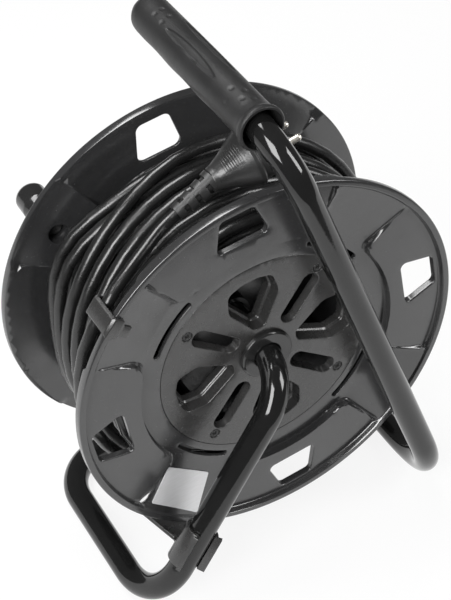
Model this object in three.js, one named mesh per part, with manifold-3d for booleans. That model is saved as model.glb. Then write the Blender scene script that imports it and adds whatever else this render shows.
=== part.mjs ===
// An extension cord reel: a wound drum that spins on the end of one bent steel tube, which is its
// axle, its floor stand and its carrying handle.
// Millimetres, +Z up. X runs to the right and Y along the drum's axle, away from the near side.
// Every piece is drawn about the drum's centre; the last lines move the whole reel onto the floor.
import * as THREE from "three";
import { mergeVertices } from "three/addons/utils/BufferGeometryUtils.js";
import Module from "manifold-3d";

const wasm = await Module();
wasm.setup();

// ---------------------------------------------------------------- driving sizes
const GAP = 0.3; // between two pieces that touch or run on each other

const FLANGE_R = 145; // outer radius of both flanges
const AXLE_HEIGHT = 190.3; // drum axis above the floor
const RIM_FACE = 65.2; // rim's outer face, from the drum's middle plane
const RIM_BACK = 59.7;
const RIM_BEAD = 4.8; // radial width of the thick bead at the rim
const PAD_FACE = 61; // flat pads that carry the windows
const HUB_FACE = 55.4; // flat ring round the hub, and the cover's face
const CONE_EDGE = 63.5; // the arms between the pads rise to this near the rim
const WEB = 3; // moulded wall
const PAD_INNER_R = 97.5;
const PAD_HALF_DEG = 30.7;
const FIRST_PAD_DEG = 11; // the others follow every quarter turn
const COVER_R = 81;
const COVER_T = 2.6;
const BARREL_R = 79.5;
const BARREL_WALL = 4;
const LEDGE_R = 76.6; // inner edge of the ledge that carries a cover

const TUBE_D = 19.3; // steel tube of the stand
const TUBE_WALL = 1.5;
const STAND_Y = 87.7; // plane of leg and riser, in front of the drum's middle plane
const STAND_BACK_Y = 79.2; // rear floor run
const LEFT_X = -107.3; // left floor run
const RIGHT_X = 143.35; // right floor run
const AXLE_END_Y = 12.3; // where the tube ends inside the drum
const HANDLE_X = -9.1;
const HANDLE_Z = 193.6; // handle's axis above the drum's axis
const GRIP_NEAR_Y = -62;
const GRIP_FAR_Y = 98;
const GRIP_R = 14.3;

const CORD_D = 8.6;
const TURNS = 10; // turns of the outer layer
const TURN_PITCH = 9.15;
const TURN_R = 118.2; // centreline radius of the outer layer
const TURN_START_Y = 40.4;
const FAR_LAYER_R = 104.5; // the layers below are this high beside the far flange
const CLIP_DEG = 145.4; // where the cord leaves over the near rim
const CLIP_CORD_R = 140.8;
const CLIP_CORD_Y = -47;

const PLUG_AT = [-22.8, -20.6, 132.7]; // middle of the plug body's back, where its strain relief starts
const PLUG_DIR = [0.9446, -0.0291, 0.3269];
const RELIEF_DIR = [0.8782, 0.1078, 0.466]; // the relief bends down to the cord
const RELIEF_LEN = 31.5;
const PLUG_FRONT = 45; // front face of the plug, from PLUG_AT
const PIN_D = 4.8;
const PIN_SPACING = 19;
const PIN_TILT_DEG = 7;
const PIN_LEN = 19;

const KNOB_AT_R = 118.5; // crank knob on the far flange
const KNOB_DEG = 147.5;
const KNOB_R = 11.5;
const KNOB_END_Y = 107.35;
const KNOB_BOSS_Y = 70;

const SOCKET_AT_R = 45; // outlets on the far side
const SOCKET_WELL_R = 19.8;
const SOCKET_DEPTH = 17.5;
const SOCKET_RING_R = 24.5;
const SOCKET_RING_T = 3;
const LID_T = 2.6;

// ---------------------------------------------------------------- how finely round things are cut
const FLANGE_SIDES = 30;
const COVER_SIDES = 28;
const TUBE_SIDES = 12; // even, so that a flat faces the floor
const BEND_STEPS = 6;
const TURN_STEPS = 22;
const TURN_SIDES = 6;
const CORE_R = TURN_R * Math.cos(Math.PI / TURN_STEPS) - CORD_D / 2 - GAP; // the layers below, as one ring
const TIDY = 0.05; // slivers flatter than this are merged after joining and cutting

// ---------------------------------------------------------------- materials
const material = (color, roughness, metalness = 0) =>
  new THREE.MeshStandardMaterial({ color, roughness, metalness });
const enamel = material(0x101113, 0.18, 0.1);
const gripRubber = material(0x1c1d1f, 0.8);
const glossPlastic = material(0x26272b, 0.3);
const satinPlastic = material(0x2b2a2a, 0.5);
const bossPlastic = material(0x151517, 0.2);
const cordPvc = material(0x131315, 0.35);
const plugPvc = material(0x17181a, 0.5);
const zinc = material(0xb9bcc0, 0.35, 0.9);
const nickel = material(0xd6d2c6, 0.25, 1);
const labelFoil = material(0xc9cbce, 0.4, 0.2);
const redPlastic = material(0xb02a22, 0.4);

// ---------------------------------------------------------------- helpers
const rad = (deg) => (deg * Math.PI) / 180;
const polar = (r, deg) => [r * Math.cos(rad(deg)), r * Math.sin(rad(deg))];

// A closed geometry as a solid that can be joined and cut.
function toSolid(geometry) {
  const bare = geometry.index ? geometry.toNonIndexed() : geometry.clone();
  bare.deleteAttribute("normal");
  bare.deleteAttribute("uv");
  const merged = mergeVertices(bare, 1e-4);
  const made = new wasm.Manifold(
    new wasm.Mesh({
      numProp: 3,
      vertProperties: merged.attributes.position.array,
      triVerts: new Uint32Array(merged.index.array),
    }),
  );
  return made;
}

function toGeometry(solid) {
  const mesh = solid.simplify(TIDY).getMesh();
  const geometry = new THREE.BufferGeometry();
  geometry.setAttribute("position", new THREE.BufferAttribute(new Float32Array(mesh.vertProperties), 3));
  geometry.setIndex(new THREE.BufferAttribute(new Uint32Array(mesh.triVerts), 1));
  geometry.computeVertexNormals();
  return geometry;
}

const join = (...solids) => solids.reduce((a, b) => a.add(b));
const cut = (solid, ...tools) => tools.reduce((a, b) => a.subtract(b), solid);

// A profile of [radius, y] points spun round the drum's own direction, Y.
function spinGeometry(profile, sides, closed = true) {
  const points = profile.map(([r, y]) => new THREE.Vector2(r, y));
  if (closed) points.push(points[0].clone());
  const area = points.reduce((sum, p, i) => {
    const q = points[(i + 1) % points.length];
    return sum + p.x * q.y - q.x * p.y;
  }, 0);
  if (area < 0) points.reverse();
  return new THREE.LatheGeometry(points, sides);
}
const spin = (profile, sides) => toSolid(spinGeometry(profile, sides));
// A solid of revolution whose profile starts and ends on its axis.
const spinSolid = (profile, sides) => toSolid(spinGeometry(profile, sides, false));

// An outline of [x, z] points, pushed along Y from y0 to y1.
function prism(points, y0, y1) {
  const shape = new THREE.Shape(points.map(([x, z]) => new THREE.Vector2(x, z)));
  const geometry = new THREE.ExtrudeGeometry(shape, { depth: y1 - y0, bevelEnabled: false });
  return toSolid(geometry.rotateX(Math.PI / 2).translate(0, y1, 0));
}

const circlePoints = (x, z, r, sides) =>
  Array.from({ length: sides }, (_, i) => {
    const a = (2 * Math.PI * (i + 0.5)) / sides;
    return [x + r * Math.cos(a), z + r * Math.sin(a)];
  });
const rod = (x, z, r, y0, y1, sides = 16) => prism(circlePoints(x, z, r, sides), y0, y1);

// An outline moved outwards (or inwards, with a negative distance); points run anticlockwise.
function offsetOutline(points, distance) {
  const n = points.length;
  return points.map(([x, y], i) => {
    const [ax, ay] = points[(i + n - 1) % n];
    const [bx, by] = points[(i + 1) % n];
    const e1 = new THREE.Vector2(x - ax, y - ay).normalize();
    const e2 = new THREE.Vector2(bx - x, by - y).normalize();
    const n1 = new THREE.Vector2(e1.y, -e1.x);
    const n2 = new THREE.Vector2(e2.y, -e2.x);
    const k = distance / (1 + n1.dot(n2));
    return [x + k * (n1.x + n2.x), y + k * (n1.y + n2.y)];
  });
}

// An outline whose corners are rounded; radii[i] belongs to points[i], 0 leaves it sharp.
function roundedOutline(points, radii, perCorner = 4) {
  const n = points.length;
  const out = [];
  points.forEach(([x, y], i) => {
    if (!radii[i]) {
      out.push([x, y]);
      return;
    }
    const p = new THREE.Vector2(x, y);
    const a = new THREE.Vector2(...points[(i + n - 1) % n]).sub(p).normalize();
    const b = new THREE.Vector2(...points[(i + 1) % n]).sub(p).normalize();
    const half = Math.acos(THREE.MathUtils.clamp(a.dot(b), -1, 1)) / 2;
    const reach = radii[i] / Math.tan(half);
    const centre = p.clone().add(a.clone().add(b).normalize().multiplyScalar(radii[i] / Math.sin(half)));
    const start = p.clone().addScaledVector(a, reach).sub(centre);
    const end = p.clone().addScaledVector(b, reach).sub(centre);
    const sweep = Math.atan2(start.cross(end), start.dot(end));
    for (let k = 0; k <= perCorner; k++) {
      const v = start.clone().rotateAround(new THREE.Vector2(), (sweep * k) / perCorner);
      out.push([centre.x + v.x, centre.y + v.y]);
    }
  });
  return out;
}

const turned = (points, deg) =>
  points.map(([x, z]) => {
    const c = Math.cos(rad(deg));
    const s = Math.sin(rad(deg));
    return [x * c - z * s, x * s + z * c];
  });
const arcPoints = (r, fromDeg, toDeg, steps) =>
  Array.from({ length: steps + 1 }, (_, i) => polar(r, fromDeg + ((toDeg - fromDeg) * i) / steps));
const quarters = [0, 1, 2, 3];

// A path that gives the very stations it was made from, so that a sweep spends its steps on bends.
class StationPath extends THREE.Curve {
  constructor(points, tangents) {
    super();
    this.points = points;
    this.tangents =
      tangents ??
      points.map((p, i) =>
        points[Math.min(i + 1, points.length - 1)].clone().sub(points[Math.max(i - 1, 0)]).normalize(),
      );
  }
  station(u) {
    return Math.min(this.points.length - 1, Math.round(u * (this.points.length - 1)));
  }
  getPointAt(u, target = new THREE.Vector3()) {
    return target.copy(this.points[this.station(u)]);
  }
  getTangentAt(u, target = new THREE.Vector3()) {
    return target.copy(this.tangents[this.station(u)]);
  }
}

// Straight runs joined by round bends.
function bentPath(corners, radii, stepsPerBend) {
  const points = [];
  const tangents = [];
  corners.forEach((p, i) => {
    if (i === 0 || i === corners.length - 1) {
      const other = corners[i === 0 ? 1 : i - 1];
      points.push(p.clone());
      tangents.push(i === 0 ? other.clone().sub(p).normalize() : p.clone().sub(other).normalize());
      return;
    }
    const a = p.clone().sub(corners[i - 1]).normalize();
    const b = corners[i + 1].clone().sub(p).normalize();
    const angle = a.angleTo(b);
    const inward = b.clone().addScaledVector(a, -a.dot(b)).normalize();
    const radius = radii[i - 1];
    const centre = p.clone().addScaledVector(a, -radius * Math.tan(angle / 2)).addScaledVector(inward, radius);
    for (let k = 0; k <= stepsPerBend; k++) {
      const s = (angle * k) / stepsPerBend;
      points.push(
        centre.clone().addScaledVector(inward, -radius * Math.cos(s)).addScaledVector(a, radius * Math.sin(s)),
      );
      tangents.push(a.clone().multiplyScalar(Math.cos(s)).addScaledVector(inward, Math.sin(s)));
    }
  });
  return new StationPath(points, tangents);
}

function sweep(path, outline, hole) {
  const shape = new THREE.Shape(outline.map(([x, y]) => new THREE.Vector2(x, y)));
  if (hole) shape.holes.push(new THREE.Path(hole.map(([x, y]) => new THREE.Vector2(x, y))));
  return new THREE.ExtrudeGeometry(shape, { steps: path.points.length - 1, extrudePath: path });
}

const reel = new THREE.Group();
function add(name, solidOrGeometry, look) {
  const geometry = solidOrGeometry.isBufferGeometry ? solidOrGeometry : toGeometry(solidOrGeometry);
  const mesh = new THREE.Mesh(geometry, look);
  mesh.name = name;
  reel.add(mesh);
  return mesh;
}

// ---------------------------------------------------------------- stand
const FLOOR_RUN_Z = TUBE_D / 2 - AXLE_HEIGHT;

function standTube() {
  const at = (x, y, z) => new THREE.Vector3(x, y, z);
  const path = bentPath(
    [
      at(0, AXLE_END_Y, 0),
      at(0, -STAND_Y, 0),
      at(LEFT_X, -STAND_Y, FLOOR_RUN_Z),
      at(LEFT_X, STAND_BACK_Y, FLOOR_RUN_Z),
      at(RIGHT_X, STAND_BACK_Y, FLOOR_RUN_Z),
      at(RIGHT_X, -STAND_Y, FLOOR_RUN_Z),
      at(HANDLE_X, -STAND_Y, HANDLE_Z),
      at(HANDLE_X, GRIP_FAR_Y - 9, HANDLE_Z),
    ],
    [34, 44, 42, 42, 70, 42],
    BEND_STEPS,
  );
  // The section is turned so that a flat of it faces the floor along the three floor runs.
  const frames = path.computeFrenetFrames(path.points.length - 1, false);
  const floorStation = path.points.findIndex((p) => Math.abs(p.z - FLOOR_RUN_Z) < 1e-6);
  const down = new THREE.Vector3(0, 0, -1);
  const phase = Math.atan2(
    down.dot(frames.binormals[floorStation]),
    down.dot(frames.normals[floorStation]),
  );
  const ring = (r, sides) =>
    Array.from({ length: sides }, (_, i) => {
      const a = phase + (2 * Math.PI * (i + 0.5)) / sides;
      return [r * Math.cos(a), r * Math.sin(a)];
    });
  const outer = ring(TUBE_D / 2 / Math.cos(Math.PI / TUBE_SIDES), TUBE_SIDES);
  const bore = ring(TUBE_D / 2 - TUBE_WALL, 6);
  return sweep(path, outer, bore);
}

// A rubber sleeve, a little barrel shaped, waved below for the fingers, with a rolled lip at its
// open mouth and a round closed end.
function handleGrip() {
  const length = GRIP_FAR_Y - GRIP_NEAR_Y;
  const boreR = TUBE_D / 2 / Math.cos(Math.PI / TUBE_SIDES) + GAP;
  const outside = [];
  outside.push([15.6, 0], [16.4, 1.4], [16.2, 3.4], [15.1, 6]);
  const rows = 8;
  for (let i = 0; i <= rows; i++) {
    const s = 10 + ((length - 22) * i) / rows;
    const swell = Math.sin((Math.PI * (s - 10)) / (length - 22));
    outside.push([GRIP_R + 0.3 * swell, s]);
  }
  outside.push([GRIP_R - 0.8, length - 7], [GRIP_R - 3.4, length - 2.6], [8, length - 0.5], [0, length]);
  const inside = [
    [0, length - 8],
    [boreR, length - 8],
    [boreR, 24],
    [12.6, 10],
    [14.8, 0],
  ];
  const profile = [...outside, ...inside];
  const geometry = spinGeometry(
    profile.map(([r, s]) => [r, s + GRIP_NEAR_Y]),
    18,
  );
  const position = geometry.getAttribute("position");
  for (let i = 0; i < position.count; i++) {
    const x = position.getX(i);
    const y = position.getY(i);
    const z = position.getZ(i);
    const r = Math.hypot(x, z);
    if (r < GRIP_R - 1 || r < 11) continue;
    const s = (y - GRIP_NEAR_Y) / length;
    const below = Math.max(0, -z / r) ** 2;
    const inMiddle = Math.min(1, Math.max(0, 8 * (s - 0.06))) * Math.min(1, Math.max(0, 8 * (0.94 - s)));
    const wave = 0.7 * (1 + Math.cos(2 * Math.PI * 4 * s)) * below * inMiddle;
    const k = (r - wave) / r;
    position.setXYZ(i, x * k, y, z * k);
  }
  return toSolid(geometry.translate(HANDLE_X, 0, HANDLE_Z));
}

// A snap-on clip on the leg, with a tapered shelf under the near rim and a gusset below it.
function rimGuide() {
  const legLength = Math.hypot(LEFT_X, FLOOR_RUN_Z);
  const along = new THREE.Vector3(LEFT_X, 0, FLOOR_RUN_Z).divideScalar(legLength);
  const side = new THREE.Vector3(0, 1, 0).cross(along);
  const place = new THREE.Matrix4()
    .makeBasis(side, new THREE.Vector3(0, 1, 0), along)
    .setPosition(0, -STAND_Y, 0);
  const slab = (outline, t0, t1) => {
    const shape = new THREE.Shape(outline.map(([x, y]) => new THREE.Vector2(x, y)));
    const geometry = new THREE.ExtrudeGeometry(shape, { depth: t1 - t0, bevelEnabled: false });
    return toSolid(geometry.translate(0, 0, t0).applyMatrix4(place));
  };
  const inner = TUBE_D / 2 / Math.cos(Math.PI / TUBE_SIDES) + GAP;
  const outer = inner + 2.8;
  const c = [
    ...arcPoints(outer, -38, 218, 18),
    ...turned([[outer + 3, -1.1]], 218),
    ...turned([[outer + 3, 2.2]], 218),
    ...turned([[inner + 0.6, 2.2]], 218),
    ...arcPoints(inner, 212, -32, 18),
    ...turned([[inner + 0.6, -2.2]], -38),
    ...turned([[outer + 3, -2.2]], -38),
    ...turned([[outer + 3, 1.1]], -38),
  ];
  const shelfTop = FLANGE_R + 4;
  const rimY = STAND_Y - RIM_FACE; // from the leg's axis to the rim's face
  const shelf = roundedOutline(
    [
      [-9.5, 11],
      [9.5, 11],
      [22, rimY + 15],
      [22, rimY + 20],
      [-22, rimY + 20],
      [-22, rimY + 15],
    ],
    [0, 0, 0, 4, 4, 0],
  );
  const gusset = [
    [-1.5, 11],
    [1.5, 11],
    [1.5, rimY + 14],
    [-1.5, rimY + 14],
  ];
  const clip = slab(c, 132, 162);
  // The gusset's lower edge slopes up to the shelf's end.
  const slope = new THREE.BoxGeometry(10, 60, 20).rotateX(-0.3).translate(0, 38, shelfTop + 18.2);
  const web = cut(slab(gusset, shelfTop + 2, shelfTop + 9), toSolid(slope.applyMatrix4(place)));
  return join(clip, slab(shelf, shelfTop, shelfTop + 3), web);
}

function axlePlug() {
  return spin(
    [
      [2.8, -10],
      [7, -10],
      [7, AXLE_END_Y - 0.1],
      [2.8, AXLE_END_Y - 0.1],
    ],
    12,
  );
}

function axleWasher() {
  return spin(
    [
      [2.8, AXLE_END_Y + GAP],
      [14.5, AXLE_END_Y + GAP],
      [14.5, AXLE_END_Y + GAP + 1.5],
      [2.8, AXLE_END_Y + GAP + 1.5],
    ],
    16,
  );
}

function axleScrew() {
  const seat = AXLE_END_Y + 2 * GAP + 1.5;
  return spinSolid(
    [
      [0, -6],
      [2, -6],
      [2.5, -5],
      [2.5, seat],
      [5, seat],
      [5, seat + 3],
      [4.2, seat + 3.6],
      [0, seat + 3.6],
    ],
    12,
  );
}

// ---------------------------------------------------------------- drum mouldings
const coneFace = (r) => -HUB_FACE - ((CONE_EDGE - HUB_FACE) * (r - 97)) / 42;

// One pad's outline about angle 0: two side lines, an outer edge near the rim, an inner arc.
function padOutline(inset, outerR) {
  const [ex, ey] = polar(1, PAD_HALF_DEG);
  const sidePoint = (r) => {
    // the side line runs along a radius, moved inwards by the inset
    const along = Math.sqrt(r * r - inset * inset);
    return [along * ex + inset * ey, along * ey - inset * ex];
  };
  const inner = PAD_INNER_R + inset;
  const [cx, cy] = sidePoint(inner);
  const corner = (Math.atan2(cy, cx) * 180) / Math.PI;
  const [ox, oy] = sidePoint(outerR);
  const outer = (Math.atan2(oy, ox) * 180) / Math.PI;
  const innerArc = arcPoints(inner, corner, -corner, 4);
  const outerArc = arcPoints(outerR, -outer, outer, 4);
  const points = [...outerArc, ...innerArc];
  const radii = points.map((_, i) => (i === outerArc.length ? 8 : i === points.length - 1 ? 13 : 0));
  return roundedOutline(points, radii, 2);
}

// A pad's window, with its inner edge at a radius of its own on each flange.
function padWindow(innerR, halfDeg, corner) {
  const quad = [polar(136, -5.3), polar(136, 5.3), polar(innerR, halfDeg), polar(innerR, -halfDeg)];
  return roundedOutline(quad, [corner, corner, corner, corner], 2);
}

// One flange as the near one lies; the far one is mirrored. windowAt lists the pads that have a window.
function flange(windowAt, window) {
  const inBead = FLANGE_R - RIM_BEAD;
  const coverHole = (COVER_R + GAP) / Math.cos(Math.PI / FLANGE_SIDES);
  const plate = spin(
    [
      [coverHole, -HUB_FACE],
      [97, -HUB_FACE],
      [inBead - 1.2, -CONE_EDGE],
      [inBead, -RIM_FACE],
      [FLANGE_R - 1, -RIM_FACE],
      [FLANGE_R, -RIM_FACE + 1],
      [FLANGE_R, -RIM_BACK],
      [inBead - 1.2, -CONE_EDGE + WEB],
      [97, -HUB_FACE + WEB],
      [BARREL_R + 1.5, -HUB_FACE + WEB],
      [BARREL_R + 1.5, -HUB_FACE + COVER_T + GAP + 2.6],
      [LEDGE_R, -HUB_FACE + COVER_T + GAP + 2.6],
      [LEDGE_R, -HUB_FACE + COVER_T + GAP],
      [coverHole, -HUB_FACE + COVER_T + GAP],
    ],
    FLANGE_SIDES,
  );
  // Walls stand from a pad's face back to the arm's back, where the arm lies deeper than the pad.
  const crossing = 97 + (42 * (PAD_FACE - HUB_FACE)) / (CONE_EDGE - HUB_FACE);
  const walls = spin(
    [
      [PAD_INNER_R - 1, -PAD_FACE],
      [crossing, -PAD_FACE],
      [crossing, -PAD_FACE + WEB],
      [PAD_INNER_R - 1, coneFace(PAD_INNER_R - 1) + WEB],
    ],
    FLANGE_SIDES,
  );
  let made = plate;
  const deep = [-RIM_FACE - 5, -HUB_FACE + 10];
  for (const q of quarters) {
    const at = FIRST_PAD_DEG + 90 * q;
    made = cut(made, prism(turned(padOutline(0.01, inBead - 0.8), at), ...deep));
  }
  for (const q of quarters) {
    const at = FIRST_PAD_DEG + 90 * q;
    const whole = turned(padOutline(0, inBead + 1.2), at);
    const wall = cut(prism(whole, ...deep), prism(turned(padOutline(2.4, FLANGE_R), at), ...deep));
    const pad = prism(whole, -PAD_FACE, -PAD_FACE + WEB);
    made = join(made, wall.intersect(walls), pad);
    if (windowAt.includes(q)) made = cut(made, prism(turned(window, at), ...deep));
    const slot = roundedOutline(
      [...arcPoints(91.45, -15, 15, 4), ...arcPoints(86.95, 15, -15, 4)],
      Array.from({ length: 10 }, (_, i) => ([0, 4, 5, 9].includes(i) ? 2.1 : 0)),
      2,
    );
    made = cut(made, prism(turned(slot, at + 44), ...deep));
  }
  return made;
}

function coverWindow(grow = 0, perCorner = 2) {
  const points = [
    [25, -4],
    [50, -19.5],
    [66, -17],
    [69.6, -6],
    [69.6, 6],
    [66, 17],
    [50, 19.5],
    [25, 4],
  ];
  const radii = [3, 9, 4, 0, 0, 4, 9, 3].map((r) => (r ? r + grow : 0));
  return roundedOutline(offsetOutline(points, grow), radii, perCorner);
}

const SCREW_AT_R = 72;
const FIRST_SCREW_DEG = 56.5; // the same posts carry the screws of both covers

// The bored and recessed seats that the four screws of a cover need, on the near side.
const screwSeats = () =>
  quarters.map((q) => {
    const [x, z] = polar(SCREW_AT_R, FIRST_SCREW_DEG + 90 * q);
    return join(
      rod(x, z, 4, -HUB_FACE - 1, -HUB_FACE + 1.2, 8),
      rod(x, z, 2.4, -HUB_FACE - 1, -HUB_FACE + 5, 6),
    );
  });

function hubCover() {
  const sleeveR = TUBE_D / 2 / Math.cos(Math.PI / TUBE_SIDES) + GAP;
  const disc = spin(
    [
      [sleeveR, -HUB_FACE],
      [COVER_R, -HUB_FACE],
      [COVER_R, -HUB_FACE + COVER_T],
      [13.6, -HUB_FACE + COVER_T],
      [13.4, -34],
      [sleeveR, -34],
    ],
    COVER_SIDES,
  );
  let made = disc;
  for (const q of quarters) {
    const at = FIRST_PAD_DEG + 90 * q;
    const wall = cut(
      prism(turned(coverWindow(1.8, 1), at), -HUB_FACE + 0.5, -HUB_FACE + 9),
      prism(turned(coverWindow(0), at), -HUB_FACE - 5, -HUB_FACE + 20),
    );
    made = cut(made, prism(turned(coverWindow(0), at), -HUB_FACE - 5, -HUB_FACE + 20));
    made = join(made, wall);
    const slot = roundedOutline(
      [
        [26, -6.75],
        [67, -6.75],
        [67, 6.75],
        [26, 6.75],
      ],
      [6.7, 6.7, 6.7, 6.7],
      2,
    );
    made = cut(made, prism(turned(slot, at + 45), -HUB_FACE - 5, -HUB_FACE + 20));
  }
  return cut(made, ...screwSeats());
}

function hubBoss() {
  const back = -HUB_FACE - GAP;
  return spin(
    [
      [11, back],
      [11, back - 3.3],
      [17.4, back - 3.3],
      [19.1, back - 2.5],
      [19.7, back - 1.2],
      [19.7, back],
    ],
    24,
  );
}

function coverScrew(deg, nearSide) {
  const [x, z] = polar(SCREW_AT_R, deg);
  const head = HUB_FACE - 1.2 + GAP;
  const side = nearSide ? -1 : 1;
  const profile = [
    [0, head - 14],
    [1.9, head - 14],
    [1.9, head],
    [3.4, head],
    [3.0, head + 0.7],
    [0, head + 0.7],
  ].map(([r, y]) => [r, y * side]);
  return spinSolid(profile, 8).translate([x, 0, z]);
}

// The barrel that carries the cord, with an inner wall, a rear sleeve on the axle and screw posts.
function drumBarrel() {
  const end = HUB_FACE - COVER_T - 2.6 - 2 * GAP; // just inside the flanges' ledges
  const sleeveR = TUBE_D / 2 / Math.cos(Math.PI / TUBE_SIDES) + GAP;
  const inner = BARREL_R - BARREL_WALL;
  let made = spin(
    [
      [BARREL_R, -end],
      [BARREL_R, end],
      [inner, end],
      [inner, 1],
      [13.5, 1],
      [13.5, AXLE_END_Y - 0.1],
      [sleeveR, AXLE_END_Y - 0.1],
      [sleeveR, -9],
      [13.5, -9],
      [13.5, -2],
      [inner, -2],
      [inner, -end],
    ],
    COVER_SIDES,
  );
  const top = HUB_FACE - COVER_T - GAP;
  for (const q of quarters) {
    const [x, z] = polar(SCREW_AT_R, FIRST_SCREW_DEG + 90 * q);
    made = join(made, rod(x, z, 4.1, -top, top, 6));
    made = cut(made, rod(x, z, 2.4, -top - 1, -top + 14, 6), rod(x, z, 2.4, top - 14, top + 1, 6));
  }
  return made;
}

// ---------------------------------------------------------------- far side
function farFlange(plain) {
  const [x, z] = polar(KNOB_AT_R, KNOB_DEG);
  const face = -coneFace(KNOB_AT_R);
  const boss = rod(x, z, 9.6, face - WEB + 0.6, KNOB_BOSS_Y, 20);
  const hollow = rod(x, z, 7.5, face - WEB - 4, KNOB_BOSS_Y - 2.4, 20);
  const bore = rod(x, z, 3.4, face, KNOB_BOSS_Y + 2, 12);
  return cut(join(plain.mirror([0, 1, 0]), boss), hollow, bore);
}

// The knob turns on a pin that snaps into it; the pin's head sits in the boss's hollow.
function crankPin() {
  const [x, z] = polar(KNOB_AT_R, KNOB_DEG);
  const head = KNOB_BOSS_Y - 2.4 - GAP;
  return spinSolid(
    [
      [0, head - 2],
      [6, head - 2],
      [6, head],
      [3, head],
      [3, KNOB_END_Y - 14],
      [4.2, KNOB_END_Y - 12.6],
      [3, KNOB_END_Y - 9.6],
      [0, KNOB_END_Y - 9.6],
    ],
    12,
  ).translate([x, 0, z]);
}

function crankKnob() {
  const [x, z] = polar(KNOB_AT_R, KNOB_DEG);
  const base = KNOB_BOSS_Y + GAP;
  return spinSolid(
    [
      [0, KNOB_END_Y - 9],
      [3.4, KNOB_END_Y - 9],
      [4.6, KNOB_END_Y - 12.4],
      [3.3, KNOB_END_Y - 14.4],
      [3.3, base],
      [10, base],
      [10.6, base + 0.8],
      [9.8, base + 10],
      [KNOB_R, KNOB_END_Y - 16],
      [KNOB_R, KNOB_END_Y - 3],
      [KNOB_R - 0.9, KNOB_END_Y - 0.9],
      [KNOB_R - 3, KNOB_END_Y],
      [0, KNOB_END_Y],
    ],
    16,
  ).translate([x, 0, z]);
}

const SOCKET_DEG = FIRST_PAD_DEG;
const OUTLET_SIDES = 14;
const HINGE_OUT = SOCKET_RING_R + 3.4; // lid hinge from its outlet's centre, along the radius
const HINGE_Y = HUB_FACE + GAP + SOCKET_RING_T + GAP + LID_T / 2 + 0.5;

function socketPlate() {
  let made = spinSolid(
    [
      [0, HUB_FACE - COVER_T],
      [COVER_R, HUB_FACE - COVER_T],
      [COVER_R, HUB_FACE],
      [0, HUB_FACE],
    ],
    COVER_SIDES,
  );
  for (const q of quarters) {
    const [x, z] = polar(SOCKET_AT_R, SOCKET_DEG + 90 * q);
    made = cut(made, rod(x, z, SOCKET_WELL_R + 2.7, HUB_FACE - 8, HUB_FACE + 3, 16));
  }
  made = cut(made, rod(0, 0, 6.6, HUB_FACE - 8, HUB_FACE + 3, 12));
  return cut(made, ...screwSeats().map((s) => s.mirror([0, 1, 0])));
}

// Moves a piece drawn about an outlet's centre, with its hinge towards +X, to outlet q.
function toOutlet(solid, q) {
  const deg = SOCKET_DEG + 90 * q;
  return solid.translate([SOCKET_AT_R, 0, 0]).rotate([0, -deg, 0]);
}

// A rod along Z for a hinge, in the outlet's own place.
function hingeRod(r, halfLength, sides) {
  const geometry = new THREE.CylinderGeometry(r, r, 2 * halfLength, sides).rotateX(Math.PI / 2);
  return toSolid(geometry.translate(HINGE_OUT, HINGE_Y, 0));
}

function outlet(q) {
  const seat = HUB_FACE + GAP;
  const front = seat + SOCKET_RING_T;
  const floor = front - SOCKET_DEPTH;
  const cup = spinSolid(
    [
      [0, floor - 3],
      [SOCKET_WELL_R + 1.9, floor - 3],
      [SOCKET_WELL_R + 1.9, seat],
      [SOCKET_RING_R, seat],
      [SOCKET_RING_R, front],
      [SOCKET_WELL_R, front],
      [SOCKET_WELL_R, floor],
      [0, floor],
    ],
    OUTLET_SIDES,
  );
  const lug = (z0, z1) => {
    const outline = [
      [22.5, seat],
      [HINGE_OUT + 2.6, seat],
      [HINGE_OUT + 2.6, HINGE_Y + 1],
      [HINGE_OUT + 1, HINGE_Y + 2.4],
      [HINGE_OUT - 2.6, HINGE_Y + 2.4],
      [HINGE_OUT - 2.6, front],
      [22.5, front],
    ].map(([x, y]) => new THREE.Vector2(x, y));
    const geometry = new THREE.ExtrudeGeometry(new THREE.Shape(outline), {
      depth: z1 - z0,
      bevelEnabled: false,
    });
    return toSolid(geometry.translate(0, 0, z0));
  };
  let made = join(cup, lug(6.6, 9), lug(-9, -6.6));
  made = cut(made, hingeRod(1.65, 12, 6));
  for (const side of [-1, 1]) made = cut(made, rod(0, (side * PIN_SPACING) / 2, 2.8, floor - 5, floor + 2, 6));
  return toOutlet(made, q);
}

function outletLid(q) {
  const under = HUB_FACE + GAP + SOCKET_RING_T + GAP;
  const disc = spinSolid(
    [
      [0, under],
      [SOCKET_RING_R - 0.5, under],
      [SOCKET_RING_R - 0.5, under + LID_T - 0.8],
      [SOCKET_RING_R - 1.5, under + LID_T],
      [0, under + LID_T],
    ],
    OUTLET_SIDES,
  );
  const tongue = new THREE.BoxGeometry(8, LID_T - 0.4, 12.4).translate(22.6, under + LID_T / 2, 0);
  const made = join(disc, toSolid(tongue), hingeRod(2.4, 6.2, 6));
  // a raised thumb ridge opposite the hinge
  const ridge = new THREE.BoxGeometry(2.4, 3, 14).translate(-19, under + LID_T + 0.5, 0);
  return toOutlet(cut(join(made, toSolid(ridge)), hingeRod(1.65, 12, 6)), q);
}

const lidPin = (q) => toOutlet(hingeRod(1.1, 9.4, 8), q);

// The thermal cut-out: its body behind the plate, a collar on the plate, and a reset button.
function cutoutSwitch() {
  const top = HUB_FACE - COVER_T - GAP;
  const box = new THREE.BoxGeometry(28, 24, 16).translate(0, top - 12, 0);
  return cut(toSolid(box), rod(0, 0, 5.4, top - 8, top + 1, 16));
}

function cutoutCollar() {
  return spin(
    [
      [5.4, HUB_FACE + GAP],
      [9.4, HUB_FACE + GAP],
      [9.4, HUB_FACE + 2.4],
      [8.4, HUB_FACE + 3.2],
      [5.4, HUB_FACE + 3.2],
    ],
    16,
  );
}

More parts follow.
